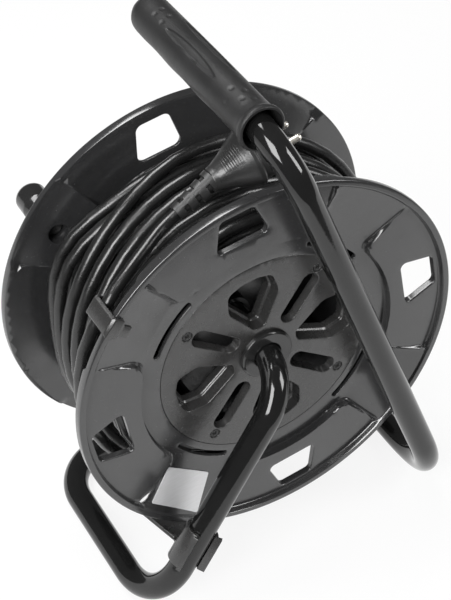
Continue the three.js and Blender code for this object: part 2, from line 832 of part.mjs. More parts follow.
function cutoutButton() {
  const foot = HUB_FACE - COVER_T - GAP - 4;
  return spinSolid(
    [
      [0, foot],
      [5, foot],
      [5, HUB_FACE + 6.2],
      [4.2, HUB_FACE + 7],
      [0, HUB_FACE + 7],
    ],
    12,
  );
}

// ---------------------------------------------------------------- what is on the near flange
function cordClip() {
  const r0 = FLANGE_R + 0.5; // a little over the rim
  const y0 = -RIM_FACE - GAP;
  const hookY = CLIP_CORD_Y + CORD_D / 2 + 0.4;
  const lipR = CLIP_CORD_R - CORD_D / 2 - 0.4;
  const outline = [
    [133, y0 - 2],
    [r0 + 1, y0 - 2],
    [r0 + 2.1, y0 - 0.9],
    [r0 + 2.1, hookY + 1],
    [r0 + 1.2, hookY + 2],
    [lipR - 1, hookY + 2],
    [lipR - 2, hookY + 1],
    [lipR - 2, hookY - 5.5],
    [lipR, hookY - 5.5],
    [lipR, hookY],
    [r0, hookY],
    [r0, y0],
    [133, y0],
  ].map(([r, y]) => new THREE.Vector2(r, y));
  const geometry = new THREE.ExtrudeGeometry(new THREE.Shape(outline), { depth: 14.5, bevelEnabled: false });
  const block = toSolid(geometry.translate(0, 0, -7.25));
  // seen from the near side, the saddle narrows to a small tab on the flange, and its corners are cut off
  const front = [
    [131, -4.2],
    [137.5, -4.2],
    [139.5, -7.3],
    [146.2, -7.3],
    [148, -5.8],
    [148, 5.8],
    [146.2, 7.3],
    [139.5, 7.3],
    [137.5, 4.2],
    [131, 4.2],
  ];
  const near = prism(front, y0 - 3, y0 + 4);
  const rest = prism(front.map(([r, z]) => [r < 138 ? 120 : r, Math.sign(z) * Math.max(Math.abs(z), 5.8)]), y0 + 4, 0);
  return block.intersect(join(near, rest)).rotate([0, -CLIP_DEG, 0]);
}

// A plain label, as thin foil that follows the arm's cone.
function label() {
  const outline = [polar(106.7, -137.6), polar(134.6, -134.8), polar(137.3, -115.6), polar(104.7, -116.2)];
  const sheet = spin(
    [
      [100, coneFace(100) - GAP],
      [138.5, coneFace(138.5) - GAP],
      [138.5, coneFace(138.5) - GAP - 0.5],
      [100, coneFace(100) - GAP - 0.5],
    ],
    72,
  );
  return sheet.intersect(prism(roundedOutline(outline, [2, 2, 2, 2], 3), -75, -50));
}

// ---------------------------------------------------------------- cord
// In the clip the cord runs straight; the point and its direction there.
const clipPoint = new THREE.Vector3(
  polar(CLIP_CORD_R, CLIP_DEG)[0],
  CLIP_CORD_Y,
  polar(CLIP_CORD_R, CLIP_DEG)[1],
);
const clipAlong = new THREE.Vector3(Math.sin(rad(CLIP_DEG)), 0, -Math.cos(rad(CLIP_DEG)));

// The outer layer, from beside the far flange to the clip on the near rim.
function turnsPath() {
  const steps = TURNS * TURN_STEPS;
  const points = [];
  const straight = CORD_D + 3;
  const endDeg = CLIP_DEG + (Math.atan2(straight, CLIP_CORD_R) * 180) / Math.PI;
  const endR = Math.hypot(straight, CLIP_CORD_R);
  const rise = 75; // degrees over which the last turn climbs to the clip
  for (let i = 0; i <= steps; i++) {
    const left = (360 * (steps - i)) / TURN_STEPS; // degrees still to go
    const k = THREE.MathUtils.smoothstep(1 - left / rise, 0, 1);
    const y = TURN_START_Y - (TURN_PITCH * i) / TURN_STEPS;
    const [x, z] = polar(TURN_R + (endR - TURN_R) * k, endDeg + left);
    points.push(new THREE.Vector3(x, y + (CLIP_CORD_Y - y) * k, z));
  }
  const first = points[0].clone().add(points[0].clone().sub(points[1]).normalize().multiplyScalar(CORD_D));
  points.unshift(first);
  points.push(clipPoint.clone().addScaledVector(clipAlong, -GAP / 2));
  return new StationPath(points);
}

const circleSection = (d, sides) => circlePoints(0, 0, d / 2, sides);

// The least distance between two stretches of one tube that are over half a turn apart.
function leastSelfGap(points, diameter, apart) {
  let least = Infinity;
  for (let i = 0; i < points.length; i++)
    for (let j = i + apart; j < points.length; j++) least = Math.min(least, points[i].distanceTo(points[j]));
  return least - diameter;
}

const outerTurns = turnsPath();
console.log(
  "outer turns: least gap to itself " + leastSelfGap(outerTurns.points, CORD_D, TURN_STEPS / 2).toFixed(2) + " mm",
);

// The layers below, and the stub of the next layer's end that the outer turns start from.
function cordCore() {
  const near = spin(
    [
      [BARREL_R + GAP, -48],
      [86, -52],
      [97, -52],
      [CORE_R, -54],
      [CORE_R, TURN_START_Y + CORD_D / 2],
      [FAR_LAYER_R, TURN_START_Y + CORD_D / 2 + 4],
      [FAR_LAYER_R, 53],
      [97, 52],
      [86, 52],
      [BARREL_R + GAP, 48],
    ],
    COVER_SIDES,
  );
  const start = outerTurns.points[0];
  const faceDeg = (Math.atan2(start.z, start.x) * 180) / Math.PI + 0.75;
  const half = CORD_D / 2;
  const stub = [
    ...arcPoints(CORE_R - 2, faceDeg, faceDeg + 24, 6),
    polar(CORE_R - 1, faceDeg + 24),
    ...arcPoints(TURN_R + half - 0.1, faceDeg + 10, faceDeg, 3),
  ];
  return join(near, prism(stub, start.y - half + 1, start.y + half - 0.3));
}

// A frame whose Y runs along the given direction, with its origin moved back along it.
function frameAlong(direction, back = 0) {
  const along = new THREE.Vector3(...direction).normalize();
  const side = new THREE.Vector3(0, 0, 1).cross(along).normalize();
  const up = side.clone().cross(along);
  const at = new THREE.Vector3(...PLUG_AT).addScaledVector(along, -back);
  return new THREE.Matrix4().makeBasis(side, along, up).setPosition(at);
}
const plugFrame = frameAlong(PLUG_DIR);
const reliefFrame = frameAlong(RELIEF_DIR, RELIEF_LEN);
const onPlug = (solid) => solid.transform(plugFrame.elements);

function cordLead() {
  const along = new THREE.Vector3(...RELIEF_DIR).normalize();
  const end = new THREE.Vector3().setFromMatrixPosition(reliefFrame);
  const from = (r, deg, y) => new THREE.Vector3(polar(r, deg)[0], y, polar(r, deg)[1]);
  const route = [
    clipPoint.clone().addScaledVector(clipAlong, GAP / 2),
    clipPoint.clone().addScaledVector(clipAlong, CORD_D),
    from(139.4, 138.4, -44.4),
    from(136.2, 132.3, -40.2),
    from(132.6, 126.3, -34.4),
    from(129.4, 121, -28.2),
    end.clone().addScaledVector(along, -CORD_D),
    end.clone().addScaledVector(along, -0.01),
  ];
  const points = new THREE.CatmullRomCurve3(route, false, "centripetal").getSpacedPoints(14);
  return new StationPath(points);
}

// Three thick collars with gaps between them; its end is cut off along the body's back.
function strainRelief() {
  const profile = [
    [0, GAP],
    [5.4, GAP],
    [5.9, 1],
    [6.1, 6.6],
    [5.2, 7],
    [5.3, 9.6],
    [6.7, 10],
    [6.9, 16.2],
    [5.8, 16.6],
    [5.9, 19.2],
    [7.4, 19.6],
    [7.6, 25.6],
    [6.6, 26],
    [6.8, 28.4],
    [7.9, 28.8],
    [8.1, RELIEF_LEN + 3],
    [0, RELIEF_LEN + 3],
  ];
  const whole = spinSolid(profile, 12).transform(reliefFrame.elements);
  return cut(whole, onPlug(rod(0, 0, 30, -GAP, 20, 12)));
}

function pinPlace(side) {
  const a = rad(PIN_TILT_DEG);
  const half = (side * PIN_SPACING) / 2;
  return [half * Math.cos(a), half * Math.sin(a)];
}

function plugBody() {
  const body = spinSolid(
    [
      [0, 0],
      [8.4, 0],
      [9.2, 4],
      [11.9, 11],
      [15.2, 17],
      [18.4, 23.5],
      [20.2, 27.5],
      [20.6, 29],
      [20.2, 30.6],
      [18.6, 31.4],
      [18.4, PLUG_FRONT - 1],
      [17.4, PLUG_FRONT],
      [0, PLUG_FRONT],
    ],
    18,
  );
  let made = body;
  for (const side of [-1, 1]) {
    const [u, v] = pinPlace(side);
    made = cut(made, rod(u, v, PIN_D / 2 + GAP, PLUG_FRONT - 6, PLUG_FRONT + 2, 12));
  }
  return onPlug(made);
}

function plugPin(side) {
  const [u, v] = pinPlace(side);
  const r = PIN_D / 2;
  const tip = PLUG_FRONT + PIN_LEN;
  return onPlug(
    spinSolid(
      [
        [0, PLUG_FRONT - 5.7],
        [r, PLUG_FRONT - 5.7],
        [r, tip - 1.6],
        [r * 0.7, tip - 0.4],
        [0, tip],
      ],
      12,
    ).translate([u, 0, v]),
  );
}

// ---------------------------------------------------------------- the whole reel
add("frame_tube", standTube(), enamel);
add("handle_grip", handleGrip(), gripRubber);
add("rim_guide", rimGuide(), satinPlastic);
add("axle_plug", axlePlug(), zinc);
add("axle_washer", axleWasher(), zinc);
add("axle_screw", axleScrew(), zinc);

const nearFlange = flange(quarters, padWindow(111.5, 10.3, 4));
const farSide = flange([1], padWindow(106.4, 9.6, 5.5));
add("near_flange", nearFlange, glossPlastic);
add("hub_cover", hubCover(), satinPlastic);
add("hub_boss", hubBoss(), bossPlastic);
add("drum_barrel", drumBarrel(), glossPlastic);
add("far_flange", farFlange(farSide), glossPlastic);
add("socket_plate", socketPlate(), satinPlastic);
for (const q of quarters) {
  add("cover_screw_" + (q + 1), coverScrew(FIRST_SCREW_DEG + 90 * q, true), zinc);
  add("plate_screw_" + (q + 1), coverScrew(FIRST_SCREW_DEG + 90 * q, false), zinc);
  add("socket_" + (q + 1), outlet(q), satinPlastic);
  add("socket_lid_" + (q + 1), outletLid(q), satinPlastic);
  add("lid_pin_" + (q + 1), lidPin(q), zinc);
}
add("cutout_switch", cutoutSwitch(), satinPlastic);
add("cutout_collar", cutoutCollar(), satinPlastic);
add("cutout_button", cutoutButton(), redPlastic);
add("crank_pin", crankPin(), satinPlastic);
add("crank_knob", crankKnob(), bossPlastic);
add("cord_clip", cordClip(), satinPlastic);
add("label", label(), labelFoil);

add("cord_core", cordCore(), cordPvc);
add("cord_turns", sweep(outerTurns, circleSection(CORD_D, TURN_SIDES)), cordPvc);
add("cord_lead", sweep(cordLead(), circleSection(CORD_D, 8)), cordPvc);
add("plug_strain_relief", strainRelief(), plugPvc);
add("plug_body", plugBody(), plugPvc);
add("plug_pin_1", plugPin(-1), nickel);
add("plug_pin_2", plugPin(1), nickel);

// The floor is z = 0, and the reel stands centred over the origin, its cord left out of account.
reel.position.set(
  -(RIGHT_X + TUBE_D / 2 - FLANGE_R) / 2,
  -(KNOB_END_Y - STAND_Y - TUBE_D / 2) / 2,
  AXLE_HEIGHT,
);
reel.updateMatrixWorld(true);

export default reel;
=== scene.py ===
# %% [markdown]
# # An extension cord reel
# A drum full of cord turns on the end of one bent steel tube, which is its axle, its floor stand and its
# carrying handle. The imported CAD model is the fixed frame: every piece below is a finer surface in the
# place of one of its solids. The pieces are worked out with numpy as grids of points, because the real ones
# come from a tube bender, a mould or an extruder, and each of those makes surfaces that a short formula
# gives.

# %% Load the frame
import math
import bmesh
import bpy
import numpy as np
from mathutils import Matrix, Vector
from mathutils.geometry import delaunay_2d_cdt


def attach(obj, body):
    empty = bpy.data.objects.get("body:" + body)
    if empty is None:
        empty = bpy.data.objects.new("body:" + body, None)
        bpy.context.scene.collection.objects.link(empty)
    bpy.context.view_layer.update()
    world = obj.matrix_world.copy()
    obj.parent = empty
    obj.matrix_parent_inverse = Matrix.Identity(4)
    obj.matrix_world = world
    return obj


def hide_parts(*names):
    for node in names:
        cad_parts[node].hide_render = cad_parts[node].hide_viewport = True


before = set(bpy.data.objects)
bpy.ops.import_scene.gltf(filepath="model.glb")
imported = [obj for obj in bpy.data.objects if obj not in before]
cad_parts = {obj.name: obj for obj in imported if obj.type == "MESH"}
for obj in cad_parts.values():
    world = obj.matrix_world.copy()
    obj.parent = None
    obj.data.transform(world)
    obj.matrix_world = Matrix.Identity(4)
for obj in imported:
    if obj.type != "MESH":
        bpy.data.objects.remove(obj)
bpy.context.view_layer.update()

# %% [markdown]
# ## Where things are
# The pieces are drawn in millimetres about the middle of the drum, with X to the right, Y along the axle
# away from the near side, and Z up. One function moves them to the frame, in metres. A part of the drum is
# easiest to place by its distance from the axle and its angle, so `polar` turns those into X and Z.

# %% Millimetres about the drum
AXLE_HEIGHT = 190.3
DRUM_AT = np.array([-4.0, -5.0, AXLE_HEIGHT])

def in_frame(points):
    """Points about the drum in millimetres, as points of the frame in metres."""
    return (np.asarray(points, float) + DRUM_AT) / 1000

def polar(radius, degrees):
    """X and Z at a distance from the axle and an angle from the right-hand side, towards the top."""
    a = np.radians(degrees)
    return np.stack([radius * np.cos(a), radius * np.sin(a)], -1)

def unit(v):
    """The same direction with length 1."""
    return np.asarray(v, float) / np.linalg.norm(v)

def smooth(t):
    """0 before t = 0, 1 after t = 1, and 3t^2 - 2t^3 between them."""
    t = np.clip(t, 0, 1)
    return t * t * (3 - 2 * t)

print("drum centre in the frame:", in_frame([0, 0, 0]))

# %% [markdown]
# ## The camera
# It stands where the photographer stood: about 29 degrees left of the drum's axis and 41 degrees above it.
# A long lens from over a metre away keeps the near rim and the far rim almost the same size.

# %% Camera
lens = bpy.data.cameras.new("camera")
lens.sensor_width = 36
lens.lens = 103.26
lens.clip_start, lens.clip_end = 0.05, 60

def aimed(name, data, at, target):
    """A camera or lamp that stands at one point and faces another."""
    made = bpy.data.objects.new(name, data)
    bpy.context.scene.collection.objects.link(made)
    made.location = at
    made.rotation_mode = "QUATERNION"
    made.rotation_quaternion = (Vector(target) - Vector(at)).to_track_quat("-Z", "Y")
    return made

STANDS_AT, LOOKS_AT = (-0.4473, -0.8124, 0.9915), (-0.005, -0.005, 0.1962)
bpy.context.scene.camera = aimed("camera", lens, STANDS_AT, LOOKS_AT)
print("camera is", round(math.dist(STANDS_AT, LOOKS_AT), 3), "m from the drum")

# %% [markdown]
# ## Writing a material as arithmetic
# A finish is a shader whose roughness and relief change a little over the surface. Its maths reads best as
# maths, so `Wire` holds one socket, and adding or multiplying two wires adds the Math node that does it.
# `Finish` is one material: `node` adds any node, with its settings before its sockets.

# %% Wires and finishes
class Wire:
    """One output socket. Arithmetic on it adds a Math node with that operation."""
    def __init__(self, finish, socket):
        self.finish, self.socket = finish, socket
    def math(self, operation, *values):
        return self.finish.node("ShaderNodeMath", {"operation": operation}, dict(enumerate(values)))
    def __add__(self, other): return self.math("ADD", self, other)
    def __mul__(self, other): return self.math("MULTIPLY", self, other)
    def __rmul__(self, other): return self.math("MULTIPLY", other, self)
    def most(self, other): return self.math("MAXIMUM", self, other)

class Finish:
    """One material. `node` adds a node: its type, its settings, then the values or wires of its sockets."""
    def __init__(self, name, **plain):
        self.name = name
        self.material = bpy.data.materials.new(name)
        self.material.use_nodes = True
        self.nodes = self.material.node_tree.nodes
        self.links = self.material.node_tree.links
        self.shader = self.nodes["Principled BSDF"]
        for socket, value in plain.items():
            self.shader.inputs[socket.replace("_", " ")].default_value = value
    def node(self, kind, settings=(), sockets=(), out=0):
        made = self.nodes.new(kind)
        for key, value in dict(settings).items():
            setattr(made, key, value)
        for key, value in dict(sockets).items():
            self.plug(made.inputs[key], value)
        return Wire(self, made.outputs[out])
    def plug(self, socket, value):
        if isinstance(value, Wire):
            self.links.new(value.socket, socket)
        else:
            socket.default_value = value
    def place(self, x=1.0, y=1.0, z=1.0):
        """Where a point is on its object, in metres, stretched along each axis."""
        at = self.node("ShaderNodeTexCoord", out="Object")
        return self.node("ShaderNodeMapping", {}, {"Vector": at, "Scale": (x, y, z)})
    def noise(self, per_metre, detail=2.0, at=None):
        """Soft random values from 0 to 1, with this many blobs to the metre."""
        return self.node("ShaderNodeTexNoise", {}, {
            "Vector": at or self.place(), "Scale": per_metre, "Detail": detail, "Roughness": 0.55})
    def ramp(self, wire, low, high, a=0.0, b=1.0):
        """A wire's values from low to high, brought to a ... b."""
        return self.node("ShaderNodeMapRange", {"clamp": True}, {
            "Value": wire, "From Min": low, "From Max": high, "To Min": a, "To Max": b})
    def blend(self, amount, one, other):
        """A colour between two colours."""
        return self.node("ShaderNodeMix", {"data_type": "RGBA"}, {0: amount, 6: one, 7: other}, out=2)
    def colour(self, value):
        self.plug(self.shader.inputs["Base Color"], value)
    def wear(self, roughness, relief, strength):
        """Sets what varies: a roughness, and a height that a Bump node turns into tilts of the surface."""
        self.plug(self.shader.inputs["Roughness"], roughness)
        bump = self.node("ShaderNodeBump", {}, {"Strength": strength, "Distance": 0.001, "Height": relief})
        self.plug(self.shader.inputs["Normal"], bump)
    def follow(self, tone, colours, roughness, relief, strength, high=0.75):
        """Colour and roughness both follow one noise, as where a surface is rubbed or stained."""
        self.colour(self.blend(tone, *colours))
        self.wear(self.ramp(tone, 0.3, high, *roughness), relief, strength)

print("arithmetic on sockets is ready")

# %% [markdown]
# ## The finishes
# Nothing on the reel has a colour of its own, apart from the reset button, so the finishes differ in gloss.
# The tube's enamel is almost a mirror with a faint orange peel. The drum's plastic is smooth but a little
# cloudy, with fine dust and scuffs. The grip is dull rubber, the cord and plug are satin. Small noise in
# the roughness breaks up each reflection, and large noise shifts the grey a little, as handling does.

# %% Finishes
def grey(value, tint=(1.0, 1.0, 1.0)):
    """A colour with the same red, green and blue, apart from a slight tint."""
    return (value * tint[0], value * tint[1], value * tint[2], 1.0)

enamel = Finish("enamel_tube", Coat_Weight=0.1, Coat_Roughness=0.04)
enamel.colour(enamel.blend(enamel.noise(30, 3), grey(0.006), grey(0.011)))
enamel.wear(enamel.ramp(enamel.noise(45, 4), 0.3, 0.75, 0.05, 0.13), enamel.noise(420, 2), 0.03)

rubber = Finish("grip_rubber", Specular_IOR_Level=0.4)
rubber.follow(rubber.noise(35, 4), (grey(0.012, (1, 1, 1.03)), grey(0.022)), (0.36, 0.5),
              rubber.noise(1500, 3) + 1.6 * rubber.noise(160, 3), 0.16, high=0.7)

plastic = Finish("drum_plastic", Specular_IOR_Level=1.0)
dust = plastic.ramp(plastic.noise(700, 2), 0.7, 0.78)
clean = plastic.blend(plastic.noise(16, 4), grey(0.022, (1, 1, 1.05)), grey(0.031))
plastic.colour(plastic.blend(dust * 0.5, clean, grey(0.13)))
plastic.wear(plastic.ramp(plastic.noise(60, 5), 0.3, 0.75, 0.15, 0.26) + dust * 0.2,
             plastic.noise(26, 2) + 0.12 * plastic.noise(900, 3), 0.06)

satin = Finish("fitting_plastic", Specular_IOR_Level=0.9)
specks = satin.ramp(satin.noise(800, 2), 0.69, 0.77)
clean = satin.blend(satin.noise(22, 4), grey(0.02, (1.04, 1, 0.97)), grey(0.03))
satin.colour(satin.blend(specks * 0.5, clean, grey(0.13)))
satin.wear(satin.ramp(satin.noise(75, 5), 0.3, 0.75, 0.22, 0.34) + specks * 0.15,
           satin.noise(30, 2) + 0.35 * satin.noise(1400, 3), 0.07)

piano = Finish("gloss_fitting", Coat_Weight=0.3, Coat_Roughness=0.05)
piano.colour(piano.blend(piano.noise(30, 3), grey(0.012), grey(0.02)))
piano.wear(piano.ramp(piano.noise(90, 4), 0.3, 0.75, 0.1, 0.24), piano.noise(300, 3), 0.05)

sheath = Finish("cord_pvc", Specular_IOR_Level=0.7)
sheath.follow(sheath.noise(60, 5), (grey(0.006), grey(0.014)), (0.22, 0.34),
              sheath.noise(1100, 3) + 2.5 * sheath.noise(90, 2), 0.1)

moulding = Finish("plug_pvc", Specular_IOR_Level=0.7)
moulding.follow(moulding.noise(50, 4), (grey(0.016), grey(0.03)), (0.26, 0.4),
                moulding.noise(1300, 3) + 0.8 * moulding.noise(200, 2), 0.12)

nickel = Finish("nickel", Metallic=1.0)
nickel.follow(nickel.noise(260, 4), (grey(0.86, (1, 0.97, 0.9)), grey(0.7, (1, 0.94, 0.84))), (0.3, 0.46),
              nickel.noise(900, 3, nickel.place(1, 6, 1)), 0.08)

zinc = Finish("zinc_steel", Metallic=1.0)
zinc.follow(zinc.noise(320, 3), (grey(0.55), grey(0.36, (1, 1, 1.05))), (0.28, 0.48),
            zinc.noise(1800, 2), 0.08)

blackened = Finish("black_screw", Metallic=0.3)
blackened.follow(blackened.noise(340, 3), (grey(0.02), grey(0.045)), (0.26, 0.44),
                 blackened.noise(1700, 2), 0.07)

foil = Finish("label_foil", Metallic=0.3)
brushed = foil.noise(900, 2, foil.place(0.05, 1, 1))
foil.follow(brushed, (grey(0.55), grey(0.68, (1, 1, 1.02))), (0.3, 0.46), brushed, 0.05)

signal = Finish("reset_red")
signal.follow(signal.noise(120, 3), ((0.42, 0.03, 0.022, 1), (0.5, 0.05, 0.035, 1)), (0.28, 0.4),
              signal.noise(1200, 2), 0.06)
print("finishes:", [m.name for m in bpy.data.materials if m.use_nodes])

# %% [markdown]
# ## From arrays to a piece
# A grid of points becomes a mesh when each cell joins its four corners. `make_piece` welds points that
# share a place, so that poles and seams close, turns all faces outwards, shades the surface smooth and
# leaves an edge sharp where it bends by more than 40 degrees. It also says which body the piece moves with,
# which CAD solids it stands for and which finish it takes. Each finish has the name of its material slot.

# %% Grid cells and the piece maker
def cells(rows, cols, ring_rows=False, first=0):
    """Quads of a grid with rows x cols points. Cell (i, j) joins (i, j), (i+1, j), (i+1, j+1) and (i, j+1).
    The last column is joined to the first one, and with ring_rows the last row too."""
    i = np.arange(rows if ring_rows else rows - 1)[:, None]
    j = np.arange(cols)[None, :]
    i2, j2 = (i + 1) % rows, (j + 1) % cols
    quads = np.stack([i * cols + j, i2 * cols + j, i2 * cols + j2, i * cols + j2], -1)
    return first + quads.reshape(-1, 4)

def make_piece(name, parts, finish, body, replaces=(), sharp=40):
    """parts is a list of (points, faces): points in millimetres about the drum, faces as rows of indices."""
    points, faces, first = [], [], 0
    for some_points, some_faces in parts:
        some_points = np.asarray(some_points, float).reshape(-1, 3)
        for group in some_faces if isinstance(some_faces, list) else [some_faces]:
            faces += (np.asarray(group) + first).tolist()
        points.append(some_points)
        first += len(some_points)
    mesh = bpy.data.meshes.new(name)
    mesh.from_pydata(in_frame(np.concatenate(points)).tolist(), [], faces)
    shape = bmesh.new()
    shape.from_mesh(mesh)
    bmesh.ops.remove_doubles(shape, verts=shape.verts, dist=2e-6)
    bmesh.ops.recalc_face_normals(shape, faces=shape.faces)
    shape.to_mesh(mesh)
    open_edges = sum(1 for e in shape.edges if len(e.link_faces) != 2)
    shape.free()
    mesh.materials.append(finish.material)
    mesh.shade_smooth()
    mesh.set_sharp_from_angle(angle=math.radians(sharp))
    piece = bpy.data.objects.new(name, mesh)
    bpy.context.scene.collection.objects.link(piece)
    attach(piece, body)
    if replaces:
        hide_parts(*replaces)
    print(f"{name}: {len(mesh.polygons)} faces" + (f", {open_edges} OPEN EDGES" if open_edges else ""))
    return piece

# %% [markdown]
# ## Round corners
# No moulded or bent thing has a sharp corner. `rounded` replaces each corner of an outline by an arc that
# touches both of its sides, then puts points along the straight sides too, so that a surface built on the
# outline has even cells.

# %% Rounded outlines
def rounded(corners, radii, spacing=1.0, closed=True, arc_step=12):
    """Corner i becomes an arc of radii[i]. With half the corner's angle h, the arc starts r / tan h before
    the corner and its centre lies r / sin h from it, on the line that halves the angle."""
    corners = np.asarray(corners, float)
    count, out = len(corners), []
    radii = np.broadcast_to(radii, (count,))
    for i, (corner, r) in enumerate(zip(corners, radii)):
        if r <= 0 or (not closed and i in (0, count - 1)):
            out.append(corner[None])
            continue
        a, b = unit(corners[i - 1] - corner), unit(corners[(i + 1) % count] - corner)
        h = math.acos(float(np.clip(a @ b, -1, 1))) / 2
        middle = corner + unit(a + b) * r / math.sin(h)
        start = corner + a * r / math.tan(h) - middle
        end = corner + b * r / math.tan(h) - middle
        sweep = math.atan2(start[0] * end[1] - start[1] * end[0], float(start @ end))
        turn = np.linspace(0, sweep, max(2, math.ceil(abs(math.degrees(sweep)) / arc_step) + 1))
        c, s = np.cos(turn), np.sin(turn)
        out.append(middle + np.stack([start[0] * c - start[1] * s, start[0] * s + start[1] * c], -1))
    return filled(np.concatenate(out), spacing, closed)

def filled(points, spacing, closed=True):
    """The same outline with more points along every stretch that is longer than the spacing."""
    ends = np.roll(points, -1, 0) if closed else points[1:]
    starts = points if closed else points[:-1]
    steps = np.maximum(1, np.ceil(np.linalg.norm(ends - starts, axis=1) / spacing).astype(int))
    share = np.concatenate([np.arange(n) / n for n in steps])[:, None]
    made = np.repeat(starts, steps, 0) * (1 - share) + np.repeat(ends, steps, 0) * share
    return made if closed else np.concatenate([made, points[-1:]])

def circle(x, z, radius, count):
    """Points evenly round a circle."""
    a = np.linspace(0, 2 * math.pi, count, endpoint=False)
    return np.stack([x + radius * np.cos(a), z + radius * np.sin(a)], -1)

def lifted(xz, y):
    """Points of a plane across the axle, each at its own y along the axle."""
    return np.stack([xz[:, 0], y, xz[:, 1]], -1)

def turned(points, degrees):
    """Points of a plane, turned about its origin."""
    a = math.radians(degrees)
    x, z = np.asarray(points, float).T
    return np.stack([x * math.cos(a) - z * math.sin(a), x * math.sin(a) + z * math.cos(a)], -1)

def disc(radius, count):
    """Points evenly round the axle."""
    return polar(np.full(count, radius), np.linspace(0, 360, count, endpoint=False))

print("a 10 mm square with 2 mm corners has", len(rounded([(0, 0), (10, 0), (10, 10), (0, 10)], 2)), "points")

# %% [markdown]
# ## Spinning and sweeping
# A turned shape is a profile of radius and height carried round an axis. A tube is a circle carried along a
# path: at each station two directions across the path are needed, and they must not twist from one station
# to the next. `across_path` starts with one direction and lets each station tilt it by only as much as the
# path bends there.

# %% Spun and swept surfaces
def spun(profile, sides=64, x=0.0, z=0.0, closed=False):
    """Point (i, j) = (x + r_i cos a_j, y_i, z + r_i sin a_j). A profile that meets the axis makes a pole."""
    profile = np.asarray(profile, float)
    a = np.linspace(0, 2 * math.pi, sides, endpoint=False)
    r, y = profile[:, :1], profile[:, 1:]
    points = np.stack([x + r * np.cos(a), y + 0 * a, z + r * np.sin(a)], -1)
    return points.reshape(-1, 3), cells(len(profile), sides, ring_rows=closed)

def across_path(path, start):
    """Directions across a path. Each is the one before it, less its part along the new tangent."""
    along = np.gradient(path, axis=0)
    along /= np.linalg.norm(along, axis=1)[:, None]
    one = np.empty_like(path)
    last = np.asarray(start, float)
    for i, tangent in enumerate(along):
        last = unit(last - tangent * (last @ tangent))
        one[i] = last
    return along, one, np.cross(along, one)

def swept(path, radius, sides, start, ends=True):
    """Point (i, j) = path_i + r_i (one_i cos a_j + other_i sin a_j). Closed ends run in to the path."""
    along, one, other = across_path(path, start)
    a = np.linspace(0, 2 * math.pi, sides, endpoint=False)[None, :, None]
    r = np.broadcast_to(radius, (len(path),))[:, None, None]
    points = path[:, None] + r * (one[:, None] * np.cos(a) + other[:, None] * np.sin(a))
    if ends:
        poles = [np.repeat(path[k][None, None], sides, 1) for k in (0, -1)]
        points = np.concatenate([poles[0], points, poles[1]])
    return points.reshape(-1, 3), cells(len(points), sides)

# %% [markdown]
# ## The cord
# The cord is made first, because it has to have its real length. A reel of this size takes about 30 m of
# cord with an 8.6 mm sheath: three layers and part of a fourth that nobody sees, and seven loose turns on
# top. The path is written in the drum's own terms. The angle falls steadily, the distance from the axle
# grows by one cord at the end of each layer, and the cord swings from one flange to the other. The loose
# turns were wound by hand. Each is given by where it lies at eight places round the drum, across it and
# away from the axle: it wanders, and where it crosses another turn it climbs over it. The last turn climbs
# into the clip.

# %% Cord path
CORD = 8.6
FIRST_LAYER = 79.5 + CORD / 2
CLIP_AT, CLIP_R, CLIP_Y = 145.4, 140.8, -47.0
PLACES = np.array([95, 120, 145, 175, 215, 270, 330, 400])
LOOSE_Y = np.array([
    [-47, -47, -47, -44, -40, -36, -27, -14],
    [-3.0, -8, -15.5, -19, -18, -14, -6, 3],
    [9.5, 6, 0, -3, -2, 2, 9, 21],
    [28, 20.5, 14.5, 12.5, 14, 14.5, 15, 19],
    [25.4, 26, 30.5, 27, 24.5, 24.5, 27, 31],
    [34.2, 35.5, 42.5, 36, 33.5, 33, 22, 10.5],
    [9.5, 8.9, 8.2, 7.5, 6.4, 5.0, 3.5, 1.7]])
LOOSE_R = np.array([
    [119, 119, 119, 119, 121, 122, 120, 118.6],
    [118.4, 118.6, 119, 118.4, 121.5, 126, 121, 118.8],
    [118.8, 118.8, 119.4, 118.4, 121.5, 127, 126.4, 126],
    [121.2, 119.5, 119, 118.4, 121, 124.5, 119.0, 115.6],
    [111.2, 112.6, 119.5, 117, 122, 127, 123, 117],
    [111.8, 115, 120.5, 115.5, 123, 121, 110.2, 109.7],
    [109.6] * 8])

PLUG_AT = np.array([-22.8, -20.6, 132.7])
PLUG_ALONG = unit([0.9446, -0.0291, 0.3269])
RELIEF_ALONG = unit([0.8782, 0.1078, 0.466])
RELIEF_TAIL = PLUG_AT - RELIEF_ALONG * 31.5

def cubic(t, start, end, leave, arrive):
    """The cubic that goes from start to end while t goes from 0 to 1, with these slopes at its ends."""
    return ((2 * t**3 - 3 * t**2 + 1) * start + (t**3 - 2 * t**2 + t) * leave
            + (3 * t**2 - 2 * t**3) * end + (t**3 - t**2) * arrive)

def flowing(at, keys, values):
    """A smooth curve through values at uneven keys, with slopes from the neighbours."""
    slope = np.gradient(values, keys)
    i = np.clip(np.searchsorted(keys, at) - 1, 0, len(keys) - 2)
    h = keys[i + 1] - keys[i]
    return cubic((at - keys[i]) / h, values[i], values[i + 1], h * slope[i], h * slope[i + 1])

INNER_TURNS = np.array([10.9, 10.9, 10.95, 5.7])
LAYER_ENDS = np.array([47.4, -47.4, 47.6, -48.2, LOOSE_Y[-1, -1]])
CLIMB_ANGLE = 75
INNER_STATIONS, LOOSE_STATIONS = 26, 44

